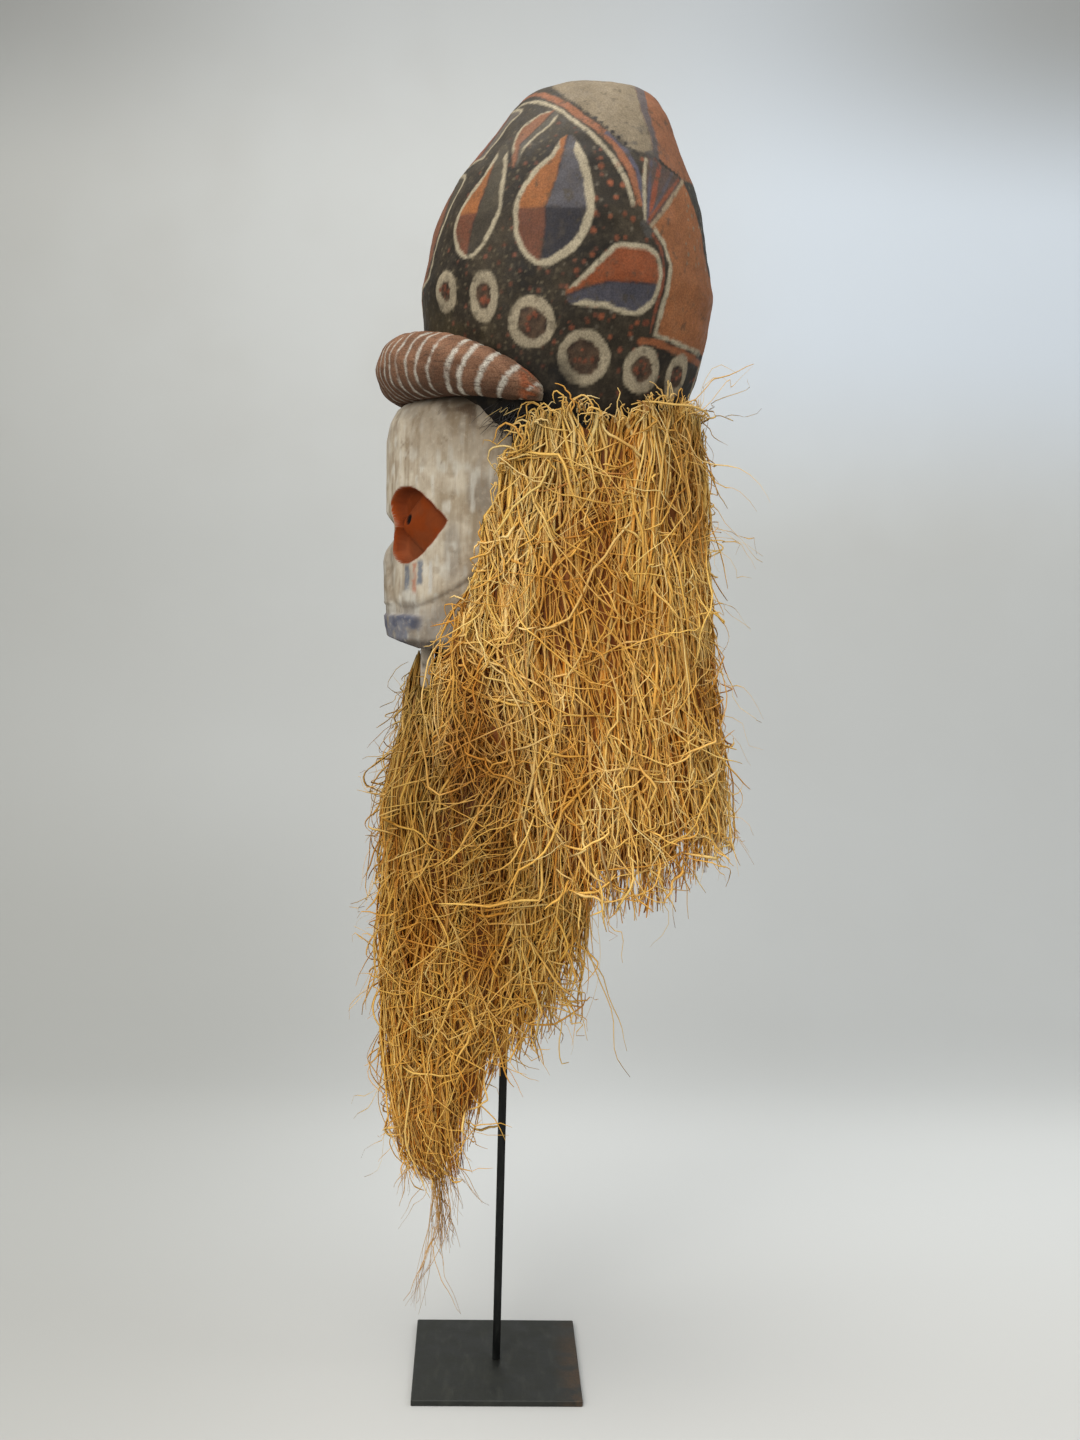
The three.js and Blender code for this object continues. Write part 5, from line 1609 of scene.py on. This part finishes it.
depth = rng.uniform(0, 0.3, len(paths))
tint = strand_tints(rng, len(paths), STRAY_STEPS, depth, 0.0, 1.0) * 0.85
raffia_piece("raffia_strays", tubes(paths, width, tint), "raffia_hair", "raffia_beard")

# %% [markdown]
# ## Black fibres at the temples
#
# Where the dome meets the face, the maker packed the joint with fibre soaked in black resin. It
# shows between the roll's tip and the raffia, and a few soaked ends stick to the top of the face.

# %% Black fibres
rng = np.random.default_rng(14)
TEMPLE_FIBRES, TEMPLE_STEPS, TEMPLE_ANGLES = 420, 7, (62, 108)
TEMPLE_Z, FACE_FLANK_X = 967.0, 82.0

count = TEMPLE_FIBRES
sign = np.where(np.arange(count) % 5 < 3, 1, -1)
angle = np.radians(rng.uniform(*TEMPLE_ANGLES, count))
start_z = RIM_DIP * np.cos(2 * angle) + TEMPLE_Z + rng.uniform(-4, 26, count)
front, back, half = (np.interp(start_z, DOME[:, 0], DOME[:, k]) for k in (1, 2, 3))
x, y = oval(angle, front, back, half, DOME_POWER, rng.uniform(-3, 2, count))
starts = np.stack([x, y, start_z], -1)
length = rng.uniform(12, 40, count)
slant = rng.uniform(-0.9, 0.35, count)
ends = starts + np.stack([rng.uniform(-3, 5, count), slant * length, -length], -1)
low_limit = np.where(ends[:, 1] < -20, 944, 940)
ends[:, 2] = np.maximum(ends[:, 2], low_limit + rng.uniform(0, 14, count))
on_face = np.maximum(ends[:, 0], FACE_FLANK_X + rng.uniform(0, 4, count))
ends[:, 0] = np.where(ends[:, 1] < -8, on_face, ends[:, 0])
starts[:, 0] *= sign
ends[:, 0] *= sign
paths = free_strands(starts, ends, TEMPLE_STEPS, (1.6, 0.8))
width = np.interp(angle, [1.08, 1.32], [0.9, 2.6])[:, None] * rng.uniform(0.5, 1.0, (count, 1)) \
    * np.interp(np.linspace(0, 1, TEMPLE_STEPS), [0, 0.6, 1], [1, 0.9, 0.3])
tint = srgb(24, 20, 18) * rng.uniform(0.6, 1.9, (count, 1, 1)) * np.ones((1, TEMPLE_STEPS, 1))
points, faces, colour = tubes(paths, width, tint, flat=0.7)

t = Nodes("black_resin")
fine = t.noise(1.5, 3)
base = t.mix(t.ramp(fine, 0.4, 0.7, 0, 0.5), t.painted().outputs["Color"], swatch(52, 44, 38))
piece("temple_fibres", points, faces, t.finish(base, 0.55), {"paint": colour},
      stands_for=["headdress"])

# %% [markdown]
#
# The work stands on pale paper that sweeps up behind it. Painted shade makes the paper a little
# darker towards the corners, below and to the left, where less of the room's light falls on it;
# painted light makes the far wall paler and its right side bluer.

# %% Stage
def sweep(width, depth, radius, height, steps=24):
    """Paper that lies flat under the work, turns up through a quarter circle and goes on up."""
    turn = np.linspace(0, np.pi / 2, steps)
    x = np.concatenate([[2600.0], -depth - radius * np.sin(turn), [-depth - radius]])
    z = np.concatenate([[0.0], radius * (1 - np.cos(turn)), [height]])
    y = np.linspace(-width, width, 9)
    return np.stack([x[:, None] + 0 * y, y + 0 * x[:, None], z[:, None] + 0 * y], -1)


grid = sweep(3400, 900, 900, 3600)
mesh = bpy.data.meshes.new("paper")
sheet_faces = grid_faces(*grid.shape[:2], closed=False)
mesh.from_pydata((grid.reshape(-1, 3) * MM).tolist(), [], sheet_faces.tolist())
for polygon in mesh.polygons:
    polygon.use_smooth = True

t = Nodes("paper")
mottle, speck = t.noise(420, 3), t.noise(16, 4)
where = t.add("ShaderNodeSeparateXYZ", {0: t.place})
near, across, high = (where.outputs[axis] for axis in "XYZ")
base = t.mix(t.ramp(mottle, 0.3, 0.7), swatch(187, 187, 183), swatch(192, 193, 190))
floor_left_shade = t.math("MULTIPLY", t.ramp(high, 0.1, 0.5, 1.0, 0.0),
                    t.ramp(across, 0.2, -0.6, 0.0, 0.6))
wall_right_light = t.math("MULTIPLY", t.ramp(high, 0.9, 1.4), t.ramp(across, -0.1, 0.7, 0, 0.8))
corners = t.math("MULTIPLY", t.ramp(high, 1.6, 2.1),
                 t.ramp(t.math("ABSOLUTE", across), 0.25, 1.25, 0, 0.8))
# Painted shade and painted light in the paper's colour: darker at the corners, below and to the
# left, paler on the far wall and bluer on the right; the specks are the paper's own.
for amount, colour in (
        (t.ramp(speck, 0.7, 0.8, 0, 0.12), (160, 158, 152)),
        (t.ramp(high, 0.5, 1.35, 0.7, 0.0), (179, 180, 177)),
        (t.ramp(near, -1.2, -0.6, 0.0, 0.9), (213, 214, 211)),
        (t.ramp(near, -0.5, 0.1, 0.0, 0.85), (200, 199, 194)),
        (floor_left_shade, (160, 160, 155)),
        (wall_right_light, (195, 203, 211)),
        (t.ramp(across, 0.0, -1.3, 0.0, 0.5), (164, 163, 156)),
        (t.ramp(high, 1.62, 2.1, 0.0, 0.5), (158, 160, 160)),
        (corners, (133, 132, 127))):
    base = t.mix(amount, base, swatch(*colour))
mesh.materials.append(t.finish(base, 0.9))
paper = bpy.data.objects.new("paper", mesh)
bpy.context.scene.collection.objects.link(paper)
print("paper", len(mesh.polygons), "faces")

# %% [markdown]
# One wide soft light hangs overhead, a weaker one stands by the camera, a third brightens the paper
# behind the work, and the room gives the rest.

# %% Light
def soft_light(name, place, target, size, power, colour):
    """Square lamp at a place in metres, turned towards a target by three crossed directions."""
    lamp = bpy.data.lights.new(name, "AREA")
    lamp.shape, lamp.size, lamp.energy, lamp.color = "SQUARE", size, power, colour
    holder = bpy.data.objects.new(name, lamp)
    ahead = np.array(target, float) - place
    ahead /= np.linalg.norm(ahead)
    beside = np.cross(ahead, [0, 1, 0.001])
    beside /= np.linalg.norm(beside)
    turn = np.eye(4)
    turn[:3] = np.stack([beside, np.cross(beside, ahead), -ahead, place], 1)
    holder.matrix_world = Matrix(turn.tolist())
    bpy.context.scene.collection.objects.link(holder)


soft_light("overhead", (0.3, -0.3, 2.7), (0, 0, 0.8), 1.8, 42, (1.0, 0.99, 0.97))
soft_light("beside_camera", (2.2, -1.1, 1.7), (0, 0, 0.8), 1.5, 43, (1.0, 0.98, 0.95))
soft_light("on_paper", (0.2, 1.5, 2.2), (-1.5, 0.7, 1.2), 1.2, 15, (0.94, 0.97, 1.0))
world = bpy.data.worlds.new("room")
world.use_nodes = True
room = world.node_tree.nodes["Background"].inputs
room["Color"].default_value, room["Strength"].default_value = (0.93, 0.96, 1.0, 1), 0.51
bpy.context.scene.world = world
bpy.context.scene.view_settings.view_transform = "Standard"
